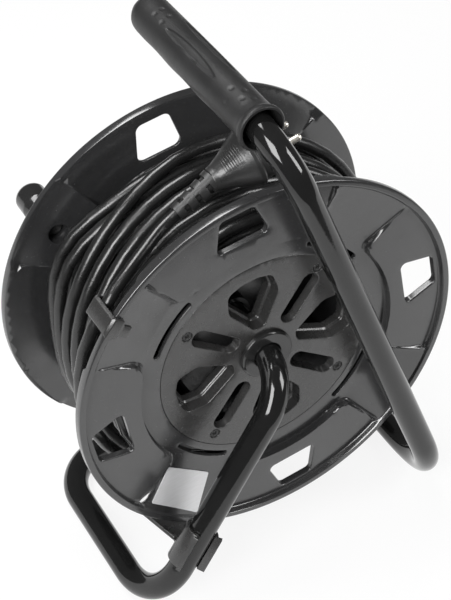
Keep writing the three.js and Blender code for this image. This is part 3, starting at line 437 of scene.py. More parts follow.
def winding():
    """The inner layers are a zigzag: the radius is the first layer's plus one cord for each climb. The loose
    turns flow through the two tables. left = turns still to go, and the angle is the end's plus 360 left."""
    starts = np.concatenate([[0], np.cumsum(INNER_TURNS)])
    loose = len(LOOSE_Y) - 1 + (PLACES[-1] - CLIP_AT) / 360
    done = np.linspace(0, starts[-1], int(starts[-1] * INNER_STATIONS), endpoint=False)
    layer = np.clip(np.searchsorted(starts, done, "right") - 1, 0, 3)
    share = (done - starts[layer]) / INNER_TURNS[layer]
    inner_y = LAYER_ENDS[layer] + (LAYER_ENDS[layer + 1] - LAYER_ENDS[layer]) * share
    inner_r = FIRST_LAYER + CORD * sum(smooth((done - s + 0.06) / 0.12) for s in starts[1:4])
    outer = np.linspace(loose, 0, int(loose * LOOSE_STATIONS) + 1)
    keys = (np.arange(len(LOOSE_Y))[:, None] + (PLACES - CLIP_AT) / 360).ravel()
    left = np.concatenate([starts[-1] - done + loose, outer])
    y = np.concatenate([inner_y, flowing(outer, keys, LOOSE_Y.ravel())])
    radius = np.concatenate([inner_r, flowing(outer, keys, LOOSE_R.ravel())])
    # The last 75 degrees climb to the clip. They end a little before it, on the line of the lead.
    before_clip = CORD + 3
    end_angle = CLIP_AT + math.degrees(math.atan2(before_clip, CLIP_R))
    rise = smooth(1 - 360 * left / CLIMB_ANGLE)
    radius = radius + (math.hypot(before_clip, CLIP_R) - radius) * rise
    y = y + (CLIP_Y - y) * rise
    return lifted(polar(radius, end_angle + 360 * left), y)

def through(points, per_span):
    """A smooth curve through points: a cubic for each span, with slopes from the neighbouring points."""
    points = np.asarray(points, float)
    before = np.concatenate([2 * points[:1] - points[1:2], points[:-1]])
    after = np.concatenate([points[1:], 2 * points[-1:] - points[-2:-1]])
    slope = (after - before) / 2
    t = np.linspace(0, 1, per_span, endpoint=False)[None, :, None]
    made = cubic(t, points[:-1, None], points[1:, None], slope[:-1, None], slope[1:, None])
    return np.concatenate([made.reshape(-1, 3), points[-1:]])

def on_drum(radius, degrees, y):
    """A point by its distance from the axle, its angle and its place along the axle."""
    x, z = polar(radius, degrees)
    return np.array([x, y, z])

clip_point = on_drum(CLIP_R, CLIP_AT, CLIP_Y)
clip_along = np.array([math.sin(math.radians(CLIP_AT)), 0, -math.cos(math.radians(CLIP_AT))])
LEAD_STOPS = ((139.4, 138.4, -44.4), (136.2, 132.3, -40.2), (132.6, 126.3, -34.4), (129.4, 121, -28.2))
lead = through([clip_point, clip_point + clip_along * CORD, *[on_drum(*stop) for stop in LEAD_STOPS],
                RELIEF_TAIL - RELIEF_ALONG * CORD, RELIEF_TAIL + RELIEF_ALONG * 3], 8)
cord_path = np.concatenate([winding(), lead])
cord_length = float(np.linalg.norm(np.diff(cord_path, axis=0), axis=1).sum()) / 1000
print("cord:", len(cord_path), "stations,", round(cord_length, 2), "m")

# %% [markdown]
# ## The cord's surface
# The sheath is a plain tube round that path. A real rubber cord is never quite round where it has been bent
# and pulled, so its radius swells and shrinks by a few hundredths of a millimetre.

# %% Cord
radial = cord_path[0] * [1, 0, 1]
swell = CORD / 2 * (1 + 0.006 * np.sin(np.arange(len(cord_path)) * 0.9))
cord = make_piece("cord", [swept(cord_path, swell, 16, radial)], sheath, "drum",
                  ["cord_core", "cord_turns", "cord_lead"])

# %% [markdown]
# ## The plug
# The plug is one soft moulding with a narrow back that widens to a round front with a thick rim. It is a
# turned shape about the plug's own axis, so `laid` lays the drum's Y axis along the plug. Below the rim the
# sides carry fine grip ribs on two patches: there the radius goes up and down along the axis. The relief
# behind it is bent a little towards the cord: thick collars with narrow gaps, joined by a rib on two sides.

# %% Plug body, strain relief and pins
def laid(part, along, at):
    """A part drawn along Y, laid along a direction: x goes across it, y along it and z upwards from it."""
    side = unit(np.cross([0, 0, 1], along))
    points, faces = part
    return points @ np.stack([side, along, np.cross(side, along)]) + at, faces

def plug_shape(sides=144):
    """Radius = turned profile + ribs 0.3 mm high every 1.6 mm along the axis, on a patch on either flank."""
    corners = [(0, 0), (8.4, 0), (9.2, 4), (11.9, 11), (15.2, 17), (18.4, 23.5), (20.6, 27.6), (20.6, 30.4),
               (18.4, 31.6), (18.4, 45), (0, 45)]
    profile = rounded(corners, [0, 1.2, 6, 14, 16, 8, 1.0, .9, .7, 1.2, 0], 0.5, False)
    points, faces = spun(profile, sides)
    x, y, z = points.T
    r, angle = np.hypot(x, z), np.arctan2(z, x)
    flank = smooth((np.abs(np.cos(angle - 1.2)) - 0.86) / 0.03) * smooth((y - 9) / 1) * smooth((23 - y) / 1)
    more = flank * 0.32 * (0.5 + 0.5 * np.cos(2 * math.pi * y / 1.6)) / np.maximum(r, 1)
    return np.stack([x * (1 + more), y, z * (1 + more)], -1), faces

plug_body = make_piece("plug_shell", [laid(plug_shape(), PLUG_ALONG, PLUG_AT)], moulding, "drum",
                       ["plug_body"])

COLLAR_EVERY, COLLAR_LONG = 9.5, 5.6

def relief_shape(sides=96):
    """Collars of 5.6 mm, one every 9.5 mm. Between them the radius drops by 2 mm, but not at the two ribs."""
    s = np.arange(0.3, 32.61, 0.2)
    width = 5.9 + 0.075 * s
    turn = s % COLLAR_EVERY
    gap = smooth((turn - COLLAR_LONG) / 0.7) * smooth((COLLAR_EVERY + 0.1 - turn) / 0.7)
    a = np.linspace(0, 2 * math.pi, sides, endpoint=False)
    joined = smooth((np.abs(np.sin(a + 0.5)) - 0.9) / 0.05)
    r = width[:, None] - gap[:, None] * (1 - joined[None, :]) * 2.0
    points = np.stack([r * np.cos(a), s[:, None] + 0 * a, r * np.sin(a)], -1)
    poles = [np.broadcast_to([0, s[k], 0], (1, sides, 3)) for k in (0, -1)]
    points = np.concatenate([poles[0], points, poles[1]])
    return points.reshape(-1, 3), cells(len(points), sides)

relief = make_piece("strain_relief", [laid(relief_shape(), RELIEF_ALONG, RELIEF_TAIL)], moulding, "drum",
                    ["plug_strain_relief"])

def pin_shape(side):
    """A round pin with a bevelled tip."""
    profile = rounded([(0, 39.3), (2.4, 39.3), (2.4, 62.2), (1.6, 63.8), (0, 64)],
                      [0, .2, .7, .4, 0], 0.6, False)
    points, faces = spun(profile, 40)
    u, v = polar(side * 9.5, 7)
    return laid((points + [u, 0, v], faces), PLUG_ALONG, PLUG_AT)

pins = [make_piece(f"pin_{k}", [pin_shape(side)], nickel, "drum", [f"plug_pin_{k}"])
        for k, side in ((1, -1), (2, 1))]

# %% [markdown]
# ## The tube
# One 19 mm steel tube is bent six times: out of the hub, down as a leg, round three sides of the floor, up
# as a riser and back as the handle. A bender makes arcs between straight runs, so the path is a polygon
# whose corners are arcs in space, and the tube is swept along it, out and back again for its bore.

# %% Tube
TUBE_R, TUBE_WALL = 9.65, 1.5

def bent(corners, radii, arc_step=3.0, spacing=12):
    """Straight runs joined by arcs. With the bend's angle t, an arc starts r tan(t/2) before its corner."""
    corners = np.asarray(corners, float)
    out = [corners[:1]]
    for before, corner, after, r in zip(corners[:-2], corners[1:-1], corners[2:], radii):
        a, b = unit(corner - before), unit(after - corner)
        angle = math.acos(float(a @ b))
        inward = unit(b - a * (a @ b))
        middle = corner - a * r * math.tan(angle / 2) + inward * r
        t = np.linspace(0, angle, math.ceil(math.degrees(angle) / arc_step) + 1)[:, None]
        out.append(middle - inward * r * np.cos(t) + a * r * np.sin(t))
    return filled(np.concatenate(out + [corners[-1:]]), spacing, False)

FLOOR_Z = TUBE_R - AXLE_HEIGHT
LEFT, RIGHT, FRONT, REAR = -107.3, 143.35, -87.7, 79.2
HANDLE_X, HANDLE_Z = -9.1, 193.6
tube_path = bent([(0, 12.3, 0), (0, FRONT, 0), (LEFT, FRONT, FLOOR_Z), (LEFT, REAR, FLOOR_Z),
                  (RIGHT, REAR, FLOOR_Z), (RIGHT, FRONT, FLOOR_Z), (HANDLE_X, FRONT, HANDLE_Z),
                  (HANDLE_X, 89, HANDLE_Z)], [34, 44, 42, 42, 70, 42])

def pipe(path, outer, inner, sides, start):
    """Rows along the outside, then back along the bore, as one ring of rows."""
    out, _ = swept(path, outer, sides, start, ends=False)
    back, _ = swept(path, inner, sides, start, ends=False)
    points = np.concatenate([out.reshape(-1, sides, 3), back.reshape(-1, sides, 3)[::-1]])
    return points.reshape(-1, 3), cells(len(points), sides, ring_rows=True)

tube = pipe(tube_path, TUBE_R, TUBE_R - TUBE_WALL, 56, (0, 0, 1))
make_piece("tube", [tube], enamel, "stand", ["frame_tube"])

# %% [markdown]
# ## The grip
# The grip is a rubber sleeve pushed over the tube. It starts as a turned shape, with a rolled lip round its
# mouth, a ribbed bore inside it and a round closed end. Then each point moves in or out by a height that
# depends on where it is: four shallow waves below for the fingers, a long leaf-shaped hollow on each
# shoulder for the thumb, and small dimples where the mould's pins stood.

# %% Grip
GRIP_AT = np.array([HANDLE_X, 0.0, HANDLE_Z])
GRIP_ENDS = (-62.0, 98.0)
DIMPLES = ((-38, 86), (-49, 83), (-31, 110), (-44, 108), (-36, 143), (70, 116), (71, 92), (61, 92), (59, 118))

def grip_relief(y, angle):
    """Millimetres to add to the radius at a place along the grip and an angle round it (90 is the top)."""
    share = (y - GRIP_ENDS[0]) / (GRIP_ENDS[1] - GRIP_ENDS[0])
    middle = smooth((share - 0.06) * 9) * smooth((0.94 - share) * 9)
    below = np.maximum(0, -np.sin(np.radians(angle))) ** 2
    height = -0.7 * (1 + np.cos(2 * math.pi * 4 * share)) * below * middle
    for side in (1, -1):
        around = (angle - 90) * side
        lengthwise = ((y - 19) / 33) ** 2
        width = 13.5 * np.sqrt(np.maximum(0.0, 1 - lengthwise))
        hollow = (width - np.abs(around - 28 - 3 * lengthwise)) / 13.5
        height = height - 0.75 * smooth(hollow * 3.2)
    for at, turn in DIMPLES:
        far = np.hypot(y - at, 14.4 * np.radians(angle - turn))
        height = height - 0.55 * smooth(1.6 - far / 1.5)
    return height

def grip_shape(sides=168):
    """The turned sleeve, as one profile from the inner pole to the outer one, and then its relief."""
    length = GRIP_ENDS[1] - GRIP_ENDS[0]
    rows = np.arange(12, length - 12, 1.0)
    body = np.stack([14.3 + 0.3 * np.sin(math.pi * (rows - 10) / (length - 22)), rows], -1)
    mouth = rounded([(14.2, -0.2), (15.6, 0), (16.4, 1.4), (16.2, 3.4), (15.1, 6.2), (14.4, 11)],
                    [0, .7, 1.2, 1.2, 4, 0], 0.5, False)
    tail = rounded([(14.3, length - 12), (13.9, length - 7), (10.9, length - 1.6), (6, length), (0, length)],
                   [0, 8, 6, 8, 0], 0.7, False)
    bore = np.stack([np.linspace(10.3, 13.9, 60), np.linspace(26, 0.4, 60)], -1)
    bore[:, 0] += 0.28 * np.sin(2 * math.pi * bore[:, 1] / 2.1) * smooth((24 - bore[:, 1]) / 3)
    profile = np.concatenate([[(0, length - 8), (10.3, length - 8)], bore, mouth, body[1:-1], tail])
    points, faces = spun(profile + [0, GRIP_ENDS[0]], sides)
    x, y, z = points.T
    r = np.maximum(np.hypot(x, z), 1e-6)
    outside = (r > 13) * smooth((y - GRIP_ENDS[0] - 7) / 5)
    k = 1 + grip_relief(y, np.degrees(np.arctan2(z, x)) % 360) * outside / r
    return np.stack([x * k, y, z * k], -1) + GRIP_AT, faces

make_piece("grip", [grip_shape()], rubber, "stand", ["handle_grip"])

# %% [markdown]
# ## Plates with holes
# The flanges, the covers and the small clips are flat mouldings with holes. Each edge is a band: the same
# outline at a row of depths, pushed a little into the material at the first and last rows, which rounds the
# edge over. Between the bands lie a front and a back skin. A Delaunay triangulation of the outlines and a
# scatter of points inside fills a skin without crossing an outline, and a height formula lifts its points.

# %% Plate maker
def outward(loop, closed=True):
    """Unit directions across an outline that runs anticlockwise, pointing away from what it encloses."""
    along = np.roll(loop, -1, 0) - np.roll(loop, 1, 0) if closed else np.gradient(loop, axis=0)
    along /= np.linalg.norm(along, axis=1)[:, None]
    return np.stack([along[:, 1], -along[:, 0]], -1)

def inside(points, loop):
    """True where a ray to the right crosses the outline an odd number of times."""
    x, z = points[:, :1], points[:, 1:]
    ax, az = loop.T
    bx, bz = np.roll(loop, -1, 0).T
    crosses = (az > z) != (bz > z)
    reach = ax + (z - az) * (bx - ax) / np.where(bz == az, 1e-12, bz - az)
    return (crosses & (x < reach)).sum(1) % 2 == 1

def round_over(radius, face=0):
    """A quarter circle as rows (inset, which face the depth is measured from, depth), down to the wall."""
    a = np.linspace(0, math.pi / 2, 5)
    return [(radius * (1 - math.sin(t)), face, radius * (1 - math.cos(t))) for t in a]

def edge(front=0.8, back=0.4):
    """Rows of an edge with both corners rounded."""
    return round_over(front) + round_over(back, 1)[::-1]

def funnel(depth, lean, wall, over=0.6, step=0.0):
    """Rows of a wall that leans inwards by `lean` over `depth` mm, with a `step` half-way, then comes back
    outside itself at the wall's thickness."""
    slope = [(-lean * t - step * smooth((t - 0.55) / 0.08), 0, over + (depth - over) * t)
             for t in np.linspace(0.12, 1, 24)]
    lean = lean + step
    lip = [(-lean + 0.12, 0, depth + 0.3), (-lean + wall - 0.12, 0, depth + 0.3), (-lean + wall, 0, depth)]
    back = [(-lean * (1 - t) + wall, 0, depth * (1 - t) + 3.4 * t) for t in np.linspace(0.25, 0.9, 3)]
    return round_over(over) + slope + lip + back + [(wall + 0.4, 1, 0)]

def within(points, loops):
    """True inside the first outline and outside all the others."""
    keep = inside(points, loops[0])
    for loop in loops[1:]:
        keep &= ~inside(points, loop)
    return keep

def nearest(points, others):
    """Distance from each point to the nearest of the others, a few hundred points at a time."""
    parts = np.array_split(points, len(points) // 400 + 1)
    return np.concatenate([np.hypot(*(part[:, None] - others).transpose(2, 0, 1)).min(1) for part in parts])

def skin(loops, ids, height, scatter, points):
    """Triangles between outlines: loops[0] is the outer one. Adds the scattered points to the points."""
    flat = np.concatenate(loops)
    scatter = scatter[within(scatter, loops)]
    scatter = scatter[nearest(scatter, flat) > 0.7]
    first = sum(len(p) for p in points)
    points.append(lifted(scatter, height(*scatter.T)))
    ids = np.concatenate([np.concatenate(ids), first + np.arange(len(scatter))])
    everything = np.concatenate([flat, scatter])
    edges, start = [], 0
    for loop in loops:
        k = start + np.arange(len(loop))
        edges += np.stack([k, np.roll(k, -1)], -1).tolist()
        start += len(loop)
    made = delaunay_2d_cdt([Vector(p) for p in everything.tolist()], edges, [], 0, 1e-7)
    source = np.array([given[0] for given in made[3]])
    tris = source[np.array([t for t in made[2] if len(t) == 3])]
    # Triangles in a hole, outside the outline or without an area are left out.
    one, two = (everything[tris[:, k]] - everything[tris[:, 0]] for k in (1, 2))
    area = np.abs(one[:, 0] * two[:, 1] - one[:, 1] * two[:, 0])
    return ids[tris[within(everything[tris].mean(1), loops) & (area > 1e-7)]]

def level(y):
    """A flat face's height formula."""
    return lambda x, z: np.full(np.shape(x), float(y))

def plate(front, back, outer, holes=(), grain=6.0, creases=()):
    """front and back give the height of a face at (x, z). outer and each hole are (outline, rows of its
    edge). A row is (inset, face, depth): depth is measured from the front (0) or back (1) face towards the
    other one, or is a height of its own (2). creases are extra points for the skins."""
    points, faces, total = [], [], 0
    front_skin, back_skin = ([], []), ([], [])
    probe = np.zeros(1), np.ones(1)
    sign = 1.0 if back(*probe)[0] > front(*probe)[0] else -1.0
    for k, (loop, rows) in enumerate([outer, *holes]):
        into = -outward(loop) if k == 0 else outward(loop)
        grid = []
        for inset, face, depth in rows:
            at = loop + into * inset
            heights = (front, back, level(depth))[face](*at.T)
            grid.append(lifted(at, heights + (sign * depth, -sign * depth, 0)[face]))
        points.append(np.concatenate(grid))
        faces.append(cells(len(rows), len(loop), first=total))
        for (outlines, ids), row in ((front_skin, 0), (back_skin, len(rows) - 1)):
            outlines.append(grid[row][:, [0, 2]])
            ids.append(total + row * len(loop) + np.arange(len(loop)))
        total += len(rows) * len(loop)
    low, high = outer[0].min(0), outer[0].max(0)
    u, v = np.meshgrid(np.arange(low[0], high[0], grain), np.arange(low[1], high[1], grain * 0.87))
    u = u + (np.arange(len(u)) % 2)[:, None] * grain / 2
    scatter = np.concatenate([np.stack([u.ravel(), v.ravel()], -1), *creases])
    for (outlines, ids), height in ((front_skin, front), (back_skin, back)):
        faces.append(skin(outlines, ids, height, scatter, points))
    return np.concatenate(points), faces

def slab(outline, low, high, over, grain):
    """An outline pushed from one height to another, with its edges rounded over."""
    return plate(level(low), level(high), (outline, edge(over, over)), grain=grain)

washer = plate(level(0), level(2), (disc(20, 48), edge()), [(disc(5, 48), edge())])
print("a washer made as a plate:", len(washer[0]), "points")

# %% [markdown]
# ## The flanges
# A flange is one moulding with three levels: flat pads that carry the windows, arms between them that climb
# to the rim as a shallow cone, and a thick bead round the rim. The change from arm to pad is a smooth step
# along the pad's outline. That outline is where two straight sides meet an inner arc, with a rounded corner
# at each end, and its distance has an exact formula, so that the step can be a function of it.

# %% Flange heights
FIRST_PAD = 11.0
PAD_R, PAD_Y, PAD_LOW, PAD_HIGH = 97.5, -61, 30.4, 30.7
LOW_CORNER, HIGH_CORNER = 13.0, 8.0
RIM_R, RIM_Y = 145.0, -65.2
COVER_R, COVER_FACE, COVER_BACK = 81.0, -55.4, -52.8
CONE_FROM, CONE_OVER, CONE_RISE = 97, 42, 8.1
WEB = 3.0

def pad_distance(x, z):
    """Millimetres outside a pad (negative inside). For a corner of radius R between two edges at distances
    u and v: length of the positive parts of (u + R, v + R), plus the larger one where both are negative,
    less R."""
    r = np.hypot(x, z)
    angle = (np.degrees(np.arctan2(z, x)) - FIRST_PAD + 45) % 90 - 45
    u_high = r * np.sin(np.radians(angle - PAD_HIGH))
    u_low = -r * np.sin(np.radians(angle + PAD_LOW))
    v = PAD_R - r
    def corner(u, big):
        a, b = u + big, v + big
        return np.hypot(np.maximum(a, 0), np.maximum(b, 0)) + np.minimum(np.maximum(a, b), 0) - big
    return np.maximum(corner(u_high, HIGH_CORNER), corner(u_low, LOW_CORNER))

def arm_cone(r):
    """Height of an arm: level with the cover at first, then a cone that rises towards the rim."""
    return COVER_FACE - CONE_RISE * np.clip((r - CONE_FROM) / CONE_OVER, 0, 1)

def pads_and_arms(x, z):
    """Height of the web: PAD_Y on a pad, the cone on an arm, and a step 1.6 mm wide between them."""
    cone = arm_cone(np.hypot(x, z))
    return PAD_Y + (cone - PAD_Y) * smooth((pad_distance(x, z) + 0.8) / 1.6)

def flange_face(x, z):
    """Height of the outer face: the web, a low ridge along each pad, and the bead round the rim."""
    r = np.hypot(x, z)
    ridge = 1.1 * np.exp(-((pad_distance(x, z) - 1.3) / 0.75) ** 2)
    y = pads_and_arms(x, z) - ridge * smooth((r - 96) / 6) * smooth((138 - r) / 5)
    return y + (RIM_Y - y) * smooth((r - 138.8) / 1.9)

def flange_back(x, z):
    """The inner face follows the web at its thickness, out to the rim."""
    return pads_and_arms(x, z) + WEB

def pad_creases():
    """Rows of points on both sides of every pad's outline, close together where the step is."""
    arc = polar(PAD_R, np.linspace(-21, 21, 12))
    sides = [polar(np.array([139.0, PAD_R]), -PAD_LOW), polar(np.array([PAD_R, 139.0]), PAD_HIGH)]
    outline = np.concatenate([sides[0], arc, sides[1]])
    radii = [0, LOW_CORNER] + [0] * 12 + [HIGH_CORNER, 0]
    line = rounded(outline, radii, 1.1, closed=False, arc_step=8)
    away = outward(line, closed=False)
    rows = [line - away * d for d in (-1.5, -0.8, -0.4, 0, 0.4, 0.75, 1.05, 1.3, 1.55, 1.85, 2.2, 2.9)]
    rows = [row[np.hypot(row[:, 0], row[:, 1]) < 137.4] for row in rows]
    return [turned(row, FIRST_PAD + 90 * q) for q in range(4) for row in rows]

print("pad corner is", round(float(pad_distance(*polar(PAD_R, FIRST_PAD))), 2), "mm from the pad")

# %% [markdown]
# ## Cutting the flanges
# Each pad has a window for hanging up or strapping down the reel, and each arm has a narrow arc slot near
# the cover. A short skirt goes on behind each window of the near flange. The hub side ends in a ledge that
# the round cover sits on. The far flange is the near one mirrored, but it has a window in one pad only, a
# longer one, and one more hole, the hollow boss of the crank.

# %% Near and far flange
window = rounded([polar(136, -5.3), polar(136, 5.3), polar(111.5, 10.3), polar(111.5, -10.3)], 4)
far_window = rounded([polar(136, -5.3), polar(136, 5.3), polar(106.4, 9.6), polar(106.4, -9.6)], 5.5)
skirt = funnel(4.5, 0.25, 1.4, 1.0)
slot_arc = np.concatenate([polar(91.45, np.linspace(-15, 15, 9)), polar(86.95, np.linspace(15, -15, 9))])
slot_line = rounded(slot_arc, [2.1] + [0] * 7 + [2.1, 2.1] + [0] * 7 + [2.1])
ledge = [(0.25, 0, 0), (0.08, 0, 0.05), (0, 0, 0.25), (0, 2, -52.2), (-4.7, 2, -52.2), (-4.7, 2, -50.0),
         (-0.2, 2, -50.0), (-0.2, 1, 0)]
bead_at = (137.8, 138.5, 138.8, 139.05, 139.3, 139.55, 139.8, 140.05, 140.3, 140.6, 141.2, 142.6)
outer_edge = [(0, 1, 0.5), (0.15, 1, 0.15), (0.5, 1, 0)]
rim_rows = ([(RIM_R - r, 0, 0) for r in bead_at]
            + [(1.0, 0, 0), (0.62, 0, 0.08), (0.3, 0, 0.3), (0.08, 0, 0.62), (0, 0, 1.0)] + outer_edge)

def flange_parts(windows, extra=()):
    """windows holds, for each pad, an outline with the rows of its edge, or None."""
    holes = [(disc(COVER_R + 0.3, 240), ledge)]
    for q in range(4):
        if windows[q]:
            holes.append((turned(windows[q][0], FIRST_PAD + 90 * q), windows[q][1]))
        holes.append((turned(slot_line, FIRST_PAD + 44 + 90 * q), edge(0.5, 0.4)))
    rim = disc(RIM_R, 320), rim_rows
    return plate(flange_face, flange_back, rim, holes + list(extra), 5.0, pad_creases())

def mirrored(part):
    """The same part on the far side of the drum."""
    return part[0] * [1, -1, 1], part[1]

make_piece("flange_near", [flange_parts([(window, skirt)] * 4)], plastic, "drum", ["near_flange"])

KNOB_X, KNOB_Z = polar(118.5, 147.5)
boss_rows = [(3.4, 0, 0), (2.6, 0, -0.25), (2.25, 0, -0.9), (2.1, 2, -69.2), (1.85, 2, -69.8), (1.3, 2, -70),
             (-3.8, 2, -70), (-4.1, 2, -69.7), (-4.1, 2, -67.6), (0, 2, -67.6)] + outer_edge
far_windows = [None, (far_window, edge(1.0, 0.6)), None, None]
far_flange = flange_parts(far_windows, [(circle(KNOB_X, KNOB_Z, 7.5, 64), boss_rows)])
make_piece("flange_far", [mirrored(far_flange)], plastic, "drum", ["far_flange"])

# %% [markdown]
# ## The hub cover
# The round cover closes the near end of the barrel. Its four wide openings flare: their walls lean together
# as they go back into the drum, with a step half-way, and they end in a thin lip. Between them are four
# narrower slots that taper in the same way. A sleeve in the middle runs on the tube. All of this is one
# more plate, whose edges have many rows.

# %% Hub cover
SCREW_R, FIRST_SCREW = 72.0, 56.5
half_window = [(25, -4), (50, -19.5), (66, -17), (69.6, -6)]
other_half = [(x, -z) for x, z in half_window[::-1]]
cover_window = rounded(half_window + other_half, [4.6, 9, 6, 6.5, 6.5, 6, 9, 4.6])
slot_hole = rounded([(26, -6.1), (67, -6.75), (67, 6.75), (26, 6.1)], [6.0, 6.6, 6.6, 6.0])
sleeve = round_over(0.5) + [(0, 2, -34.3), (0.3, 2, -34), (3.0, 2, -34), (3.3, 2, -34.3), (3.3, 2, -52),
                            (4.2, 1, 0)]
seat = round_over(0.35) + [(0, 0, 0.9), (-0.15, 0, 1.2), (-1.6, 0, 1.2), (-1.6, 1, 0)]

def cover(holes, hole_sets, front):
    """A round cover with some holes, and in each quarter the same hole_sets and a screw's seat."""
    for q in range(4):
        holes += [(turned(outline, 90 * q), rows) for outline, rows in hole_sets]
        holes.append((circle(*polar(SCREW_R, FIRST_SCREW + 90 * q), 4.0, 32), seat))
    return plate(level(COVER_FACE), level(COVER_BACK), (disc(COVER_R, 240), edge(front, 0.3)), holes, 5.0)

openings = [(turned(cover_window, FIRST_PAD), funnel(13.0, 3.0, 1.5, 0.6, 1.1)),
            (turned(slot_hole, FIRST_PAD + 45), funnel(5.5, 1.7, 1.2))]
make_piece("cover_near", [cover([(disc(10.3, 64), sleeve)], openings, 0.35)], satin, "drum", ["hub_cover"])

# %% [markdown]
# ## Small turned pieces
# The glossy ring round the axle, the screws of both covers, the crank's pin and knob, the collar and the
# red button of the thermal cut-out are all turned shapes with rounded corners. A screw gets its cross
# recess by lowering the points that lie in a cross on its head.

# %% Boss, screws, crank and cut-out
boss = rounded([(10.2, -55.7), (10.2, -59), (18.2, -59), (19.4, -58.1), (19.7, -55.7)],
               [0, .8, 1.2, 1.0, 0], 0.5)
make_piece("boss_ring", [spun(boss, 96, closed=True)], piano, "drum", ["hub_boss"])

def screw(angle, side):
    """A pan head. Its face drops by up to 1.2 mm inside a cross that is 1 mm wide and 4 mm across."""
    head = 54.5
    cap = rounded([(0, 0.75), (3.0, 0.7), (3.4, 0), (1.9, 0), (1.9, -14), (0, -14)],
                  [0, .5, .2, 0, .3, 0], 0.22, False)
    points, faces = spun(cap + [0, head], 48)
    x, y, z = points.T
    u, v = x * math.cos(angle) + z * math.sin(angle), -x * math.sin(angle) + z * math.cos(angle)
    across, longest = np.minimum(abs(u), abs(v)), np.maximum(abs(u), abs(v))
    drop = smooth((0.75 - across) / 0.3) * smooth((2.2 - longest) / 0.4) * (y > head + 0.3) * 1.2
    # There are 57.3 degrees in a radian.
    cx, cz = polar(SCREW_R, angle * 57.3)
    return np.stack([x + cx, (y - drop) * side, z + cz], -1), faces

for q in range(4):
    angle = math.radians(FIRST_SCREW + 90 * q)
    make_piece(f"screw_near_{q + 1}", [screw(angle, -1)], blackened, "drum", [f"cover_screw_{q + 1}"])
    make_piece(f"screw_far_{q + 1}", [screw(angle, 1)], blackened, "drum", [f"plate_screw_{q + 1}"])

knob_outline = [(0, 98.35), (3.4, 98.35), (4.6, 95), (3.3, 93), (3.3, 70.3), (10, 70.3), (10.6, 71.1),
                (9.4, 80), (9.6, 86), (11.5, 91.35), (11.5, 104.35), (10.6, 106.45), (8.5, 107.35),
                (0, 107.35)]
knob = rounded(knob_outline, [0, .3, .8, .5, 0, .4, .4, 14, 6, 3, 1.2, .8, .8, 0], 0.6, False)
points, faces = spun(knob, 96)
x, y, z = points.T
radius = np.hypot(x, z)
grooves = 0.35 * (0.5 + 0.5 * np.cos(18 * np.arctan2(z, x)))
grooves *= smooth((y - 74) / 2) * smooth((86 - y) / 2) * (radius > 8) / np.maximum(radius, 1)
points = np.stack([x * (1 - grooves) + KNOB_X, y, z * (1 - grooves) + KNOB_Z], -1)
make_piece("knob", [(points, faces)], piano, "crank", ["crank_knob"])

pin_outline = [(0, 65.3), (6, 65.3), (6, 67.3), (3, 67.3), (3, 93.35), (4.2, 94.75), (3, 97.75), (0, 97.75)]
pin = rounded(pin_outline, [0, .6, .3, .1, 1, .6, .5, 0], 0.6, False)
make_piece("knob_pin", [spun(pin, 48, KNOB_X, KNOB_Z)], satin, "drum", ["crank_pin"])

collar = rounded([(5.4, 55.7), (9.4, 55.7), (9.4, 57.8), (8.4, 58.6), (5.4, 58.6)], [0, .3, .6, .6, .4], 0.4)
make_piece("reset_collar", [spun(collar, 64, closed=True)], satin, "drum", ["cutout_collar"])
button = rounded([(0, 48.5), (5, 48.5), (5, 61.9), (4.2, 62.4), (0, 62.0)], [0, .3, .9, 1, 0], 0.4, False)
make_piece("button", [spun(button, 48)], signal, "reset_button", ["cutout_button"])

# %% [markdown]
# ## The far side
# Nobody sees it in the photograph, but a reel like this has its outlets there: four round wells in a plate,
# each with a spring lid on a pin, round the thermal cut-out. The plate is a plate with big holes, and an
# outlet is a turned cup with two contact holes, two lugs for the lid's pin and a lid with a thumb ridge.

# %% Socket plate and outlets
OUTLET_R = 45.0
wells = [(circle(*polar(OUTLET_R, FIRST_PAD), 22.5, 120), edge(0.3, 0.3))]
far_cover = cover([(disc(6.6, 48), edge(0.3, 0.3))], wells, 0.5)
make_piece("plate_far", [mirrored(far_cover)], satin, "drum", ["socket_plate"])

HINGE_AT = (27.9, 60.8, 0)

def at_outlet(part, q):
    """From an outlet's own place, hinge towards +X, to outlet q on the drum."""
    points, faces = part
    xz = turned(points[:, [0, 2]] + [OUTLET_R, 0], FIRST_PAD + 90 * q)
    return lifted(xz, points[:, 1]), faces

def sideways(part):
    """A part drawn along Y, laid along Z."""
    return part[0][:, [0, 2, 1]], part[1]

def side_plate(outline, z0, z1, over=0.5):
    """An outline in X and Y, pushed along Z from z0 to z1, with rounded edges."""
    return sideways(slab(outline, z0, z1, over, 4.0))

def on_hinge(profile, sides, closed=False):
    """A turned shape about the lid's hinge."""
    points, faces = sideways(spun(profile, sides, closed=closed))
    return points + HINGE_AT, faces

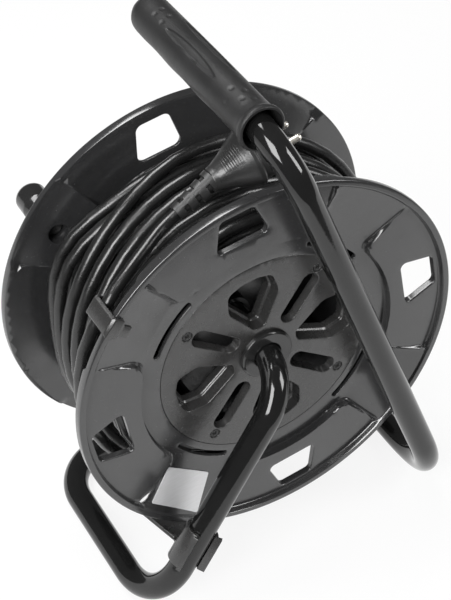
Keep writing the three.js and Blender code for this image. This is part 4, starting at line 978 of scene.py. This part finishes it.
def outlet_parts():
    """A cup whose edge band climbs the well's wall, goes over the ring and down its outside to the back."""
    over_ring = ((0.9, 57.9), (0.7, 58.5), (0.2, 58.7), (-1.6, 58.7), (-2.3, 58.4), (-2.55, 57.7),
                 (-2.6, 55.9), (-2.4, 55.7), (0, 55.7), (0, 38.6), (0.3, 38.2))
    ring = [(2.0, 0, 0), (1.2, 0, -0.25), (0.9, 0, -1.0)] + [(i, 2, y) for i, y in over_ring] + [(1.0, 1, 0)]
    holes = [(circle(0, s * 9.5, 2.8, 32), edge(0.6, 0.2)) for s in (-1, 1)]
    cup = plate(level(41.2), level(38.2), (circle(0, 0, 21.85, 120), ring), holes, 4.0)
    lug = rounded([(22.5, 55.7), (30.5, 55.7), (30.5, 61), (28.9, 62.4), (25.3, 62.4), (25.3, 58.7),
                   (22.5, 58.7)], [.8, 1, 2, 1.4, 1.4, 1, .8], 0.6)
    return [cup, side_plate(lug, 6.6, 9.0, 0.4), side_plate(lug, -9.0, -6.6, 0.4)]

def lid_parts():
    """A shallow dome, a knuckle round the pin with a tongue, and a thumb ridge opposite."""
    dome = rounded([(0, 59.0), (23.9, 59.0), (24.0, 60.2), (22.6, 61.5), (17, 61.75), (0, 61.9)],
                   [0, .3, .8, 1.5, 6, 0], 0.8, False)
    knuckle = rounded([(1.3, -6.2), (2.4, -6.2), (2.4, 6.2), (1.3, 6.2)], [.1, .4, .4, .1], 0.8)
    tongue = rounded([(20, 59.2), (26.3, 59.2), (26.3, 61.7), (20, 61.7)], .7, 0.8)
    ridge = rounded([(-20.4, 60.6), (-17.4, 60.6), (-17.7, 63.3), (-20.0, 63.3)], .8, 0.6)
    return [spun(dome, 96), on_hinge(knuckle, 32, True), side_plate(tongue, -6.2, 6.2),
            side_plate(ridge, -8, 8)]

hinge = rounded([(0, -9.4), (1.1, -9.4), (1.1, 9.4), (0, 9.4)], [0, .3, .3, 0], 1.5, False)
# Name, parts, finish, body and the CAD solid that the piece stands for.
kinds = (("outlet_{}", outlet_parts(), satin, "drum", "socket_{}"),
         ("lid_{}_cap", lid_parts(), satin, "lid_{}", "socket_lid_{}"),
         ("hinge_{}", [on_hinge(hinge, 24)], zinc, "drum", "lid_pin_{}"))
for q in range(4):
    for name, parts, finish, body, solid in kinds:
        placed = [at_outlet(part, q) for part in parts]
        make_piece(name.format(q + 1), placed, finish, body.format(q + 1), [solid.format(q + 1)])

# %% [markdown]
# ## The clip that holds the cord
# A small bracket hooks over the near rim and under the cord. Its section is an outline in the plane through
# the axle: out along the rim's face, over the rim, and down in a hook behind the cord. Pushed sideways by
# the clip's width, with rounded edges, it is one more plate, whose width then follows a formula: a narrow
# tab on the flange's face, wide over the rim.

# %% Cord clip
CLIP_HALF = 7.3

def cord_clip():
    """The section, pushed sideways, and then made as wide at each place as the formula says."""
    section = [(131, -68.5), (146.2, -68.5), (148, -66.8), (148, -41.3), (146.7, -40.3), (135.3, -40.3),
               (134.3, -41.3), (134.3, -47.8), (136.3, -47.8), (136.3, -42.3), (145.5, -42.3), (145.5, -65.5),
               (131, -65.5)]
    outline = rounded(section, [.8, 1.0, 1.0, 1.5, 1.5, 1.5, 1.2, .8, .8, .6, .6, .6, .8], 0.6)
    points, faces = slab(outline, -CLIP_HALF, CLIP_HALF, 0.6, 1.2)
    r, across, y = points.T
    tab = 4.2 + 3.1 * smooth((r - 137.5) / 1.6)
    behind = np.where(r > 138, CLIP_HALF, 5.8)
    wide = (tab + (behind - tab) * smooth((y + 62.5) / 1.2)) * (1 - 0.2 * smooth((r - 146.2) / 1.8))
    xz = turned(np.stack([r, across * wide / CLIP_HALF], -1), CLIP_AT)
    return lifted(xz, y), faces

make_piece("clip", [cord_clip()], satin, "drum", ["cord_clip"], sharp=50)

# %% [markdown]
# ## The rim guide
# A snap-on clip holds the leg and carries a tapered shelf that keeps the near rim from the tube. It is
# drawn across the leg and pushed along it: a C that grips the tube, the shelf, and a gusset below the
# shelf.

# %% Rim guide
LEG = unit([LEFT, 0, FLOOR_Z])

def on_leg(part):
    """u across the leg, v away from the near side, t down the leg, from the axle."""
    points, faces = part
    u, t, v = points.T
    directions = np.stack([np.cross([0, 1, 0], LEG), [0, 1, 0], LEG])
    return np.stack([u, v, t], -1) @ directions + [0, FRONT, 0], faces

def guide_parts():
    """The C, the shelf and the gusset."""
    inner, outer = 9.75, 12.9
    lips = [turned([(outer + 3, -1.1), (outer + 3, 2.2), (inner + .6, 2.2)], 218),
            turned([(inner + .6, -2.2), (outer + 3, -2.2), (outer + 3, 1.1)], -38)]
    c = np.concatenate([polar(outer, np.linspace(-38, 218, 50)), lips[0],
                        polar(inner, np.linspace(212, -32, 50)), lips[1]])
    grip_ring = slab(filled(c, 1.2), 132, 162, 0.6, 2.5)
    shelf = rounded([(-9.5, 11), (9.5, 11), (22, 37.5), (22, 42.5), (-22, 42.5), (-22, 37.5)],
                    [1, 1, 3, 3.5, 3.5, 3])
    web = rounded([(11, 151.5), (11, 158), (14, 158), (36.5, 153), (36.5, 151.5)], [0, 0, 2, 1, 0])
    points, faces = slab(web, -1.5, 1.5, 0.5, 3.0)
    gusset = points[:, [1, 2, 0]], faces
    return [on_leg(part) for part in (grip_ring, slab(shelf, 149, 152, 0.8, 4.0), gusset)]

make_piece("guide", guide_parts(), satin, "stand", ["rim_guide"])

# %% [markdown]
# ## The label's place
# One arm of the near flange carries a silver label. It stays blank, as on a reel before it is printed. It
# is a thin film on the cone, so its face is the cone's formula with its own thickness added.

# %% Blank label
def on_face(lift):
    """The arm's face, and the cone where a ridge would lift the film, with `lift` mm added."""
    return lambda x, z: np.minimum(flange_face(x, z), arm_cone(np.hypot(x, z))) - lift

film = rounded([polar(106.7, -137.2), polar(134.6, -134.8), polar(137.0, -115.6), polar(104.7, -116.2)],
               1.5, 0.8)
label = plate(on_face(0.8), on_face(0.3), (film, edge(0.12, 0.1)), grain=2.5)
make_piece("film", [label], foil, "drum", ["label"])

# %% [markdown]
# ## Pieces that stay as they are
# The barrel, the cut-out's body and the parts that hold the axle are hardly seen, and their CAD shapes are
# right. They keep their own meshes and only take a finish.

# %% Finishes for CAD pieces
kept = (("drum_barrel", plastic), ("cutout_switch", satin), ("axle_plug", zinc), ("axle_washer", zinc),
        ("axle_screw", zinc))
for name, finish in kept:
    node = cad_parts[name]
    node.data.materials.clear()
    node.data.materials.append(finish.material)
print("CAD pieces that stay:", [n for n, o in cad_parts.items() if not o.hide_render])

# %% [markdown]
# ## Floor and light
# A pale floor and a dimmer surround, as in a shop photograph. Bright soft lamps give the black enamel its
# long white reflections. The floor ends just in front of the reel, so that the near flange mirrors the dark
# beyond it. Camera, mirror and glass rays see the floor almost white, and only the reel's shadow stays in
# it.

# %% Stage
floor_mesh = bpy.data.meshes.new("floor")
floor_mesh.from_pydata([(-4, -0.42, 0), (4, -0.42, 0), (4, 5, 0), (-4, 5, 0)], [], [(0, 1, 2, 3)])
floor = bpy.data.objects.new("floor", floor_mesh)
bpy.context.scene.collection.objects.link(floor)
paper = Finish("floor", Roughness=0.8)
paper.colour(grey(0.86))
ray = paper.node("ShaderNodeLightPath").socket.node.outputs
camera_ray = Wire(paper, ray["Is Camera Ray"])
mirror_ray = Wire(paper, ray["Is Glossy Ray"])
glass_ray = Wire(paper, ray["Is Transmission Ray"])
seen_white = camera_ray.most(mirror_ray).most(glass_ray) * 0.86
white = paper.node("ShaderNodeEmission", {}, {"Strength": 1.0})
shaded = Wire(paper, paper.shader.outputs[0])
mix = paper.node("ShaderNodeMixShader", {}, {0: seen_white, 1: shaded, 2: white})
paper.plug(paper.nodes["Material Output"].inputs["Surface"], mix)
floor_mesh.materials.append(paper.material)

world = bpy.data.worlds.new("surround")
bpy.context.scene.world = world
world.use_nodes = True
surround = world.node_tree.nodes["Background"]
surround.inputs["Color"].default_value = (1, 1, 1, 1)
surround.inputs["Strength"].default_value = 0.12

def lamp(name, at, width, height, power):
    """A flat rectangular lamp that faces the middle of the reel."""
    data = bpy.data.lights.new(name, "AREA")
    data.shape, data.size, data.size_y, data.energy = "RECTANGLE", width, height, power
    aimed(name, data, at, (0, 0, 0.2))

lamp("left_softbox", (-1.3, -0.9, 1.2), 0.8, 1.2, 36)
lamp("right_softbox", (1.3, -1.2, 1.3), 0.7, 1.1, 24)
lamp("overhead", (-0.35, 0.45, 1.8), 1.2, 0.7, 26)
bpy.context.scene.view_settings.view_transform = "Standard"
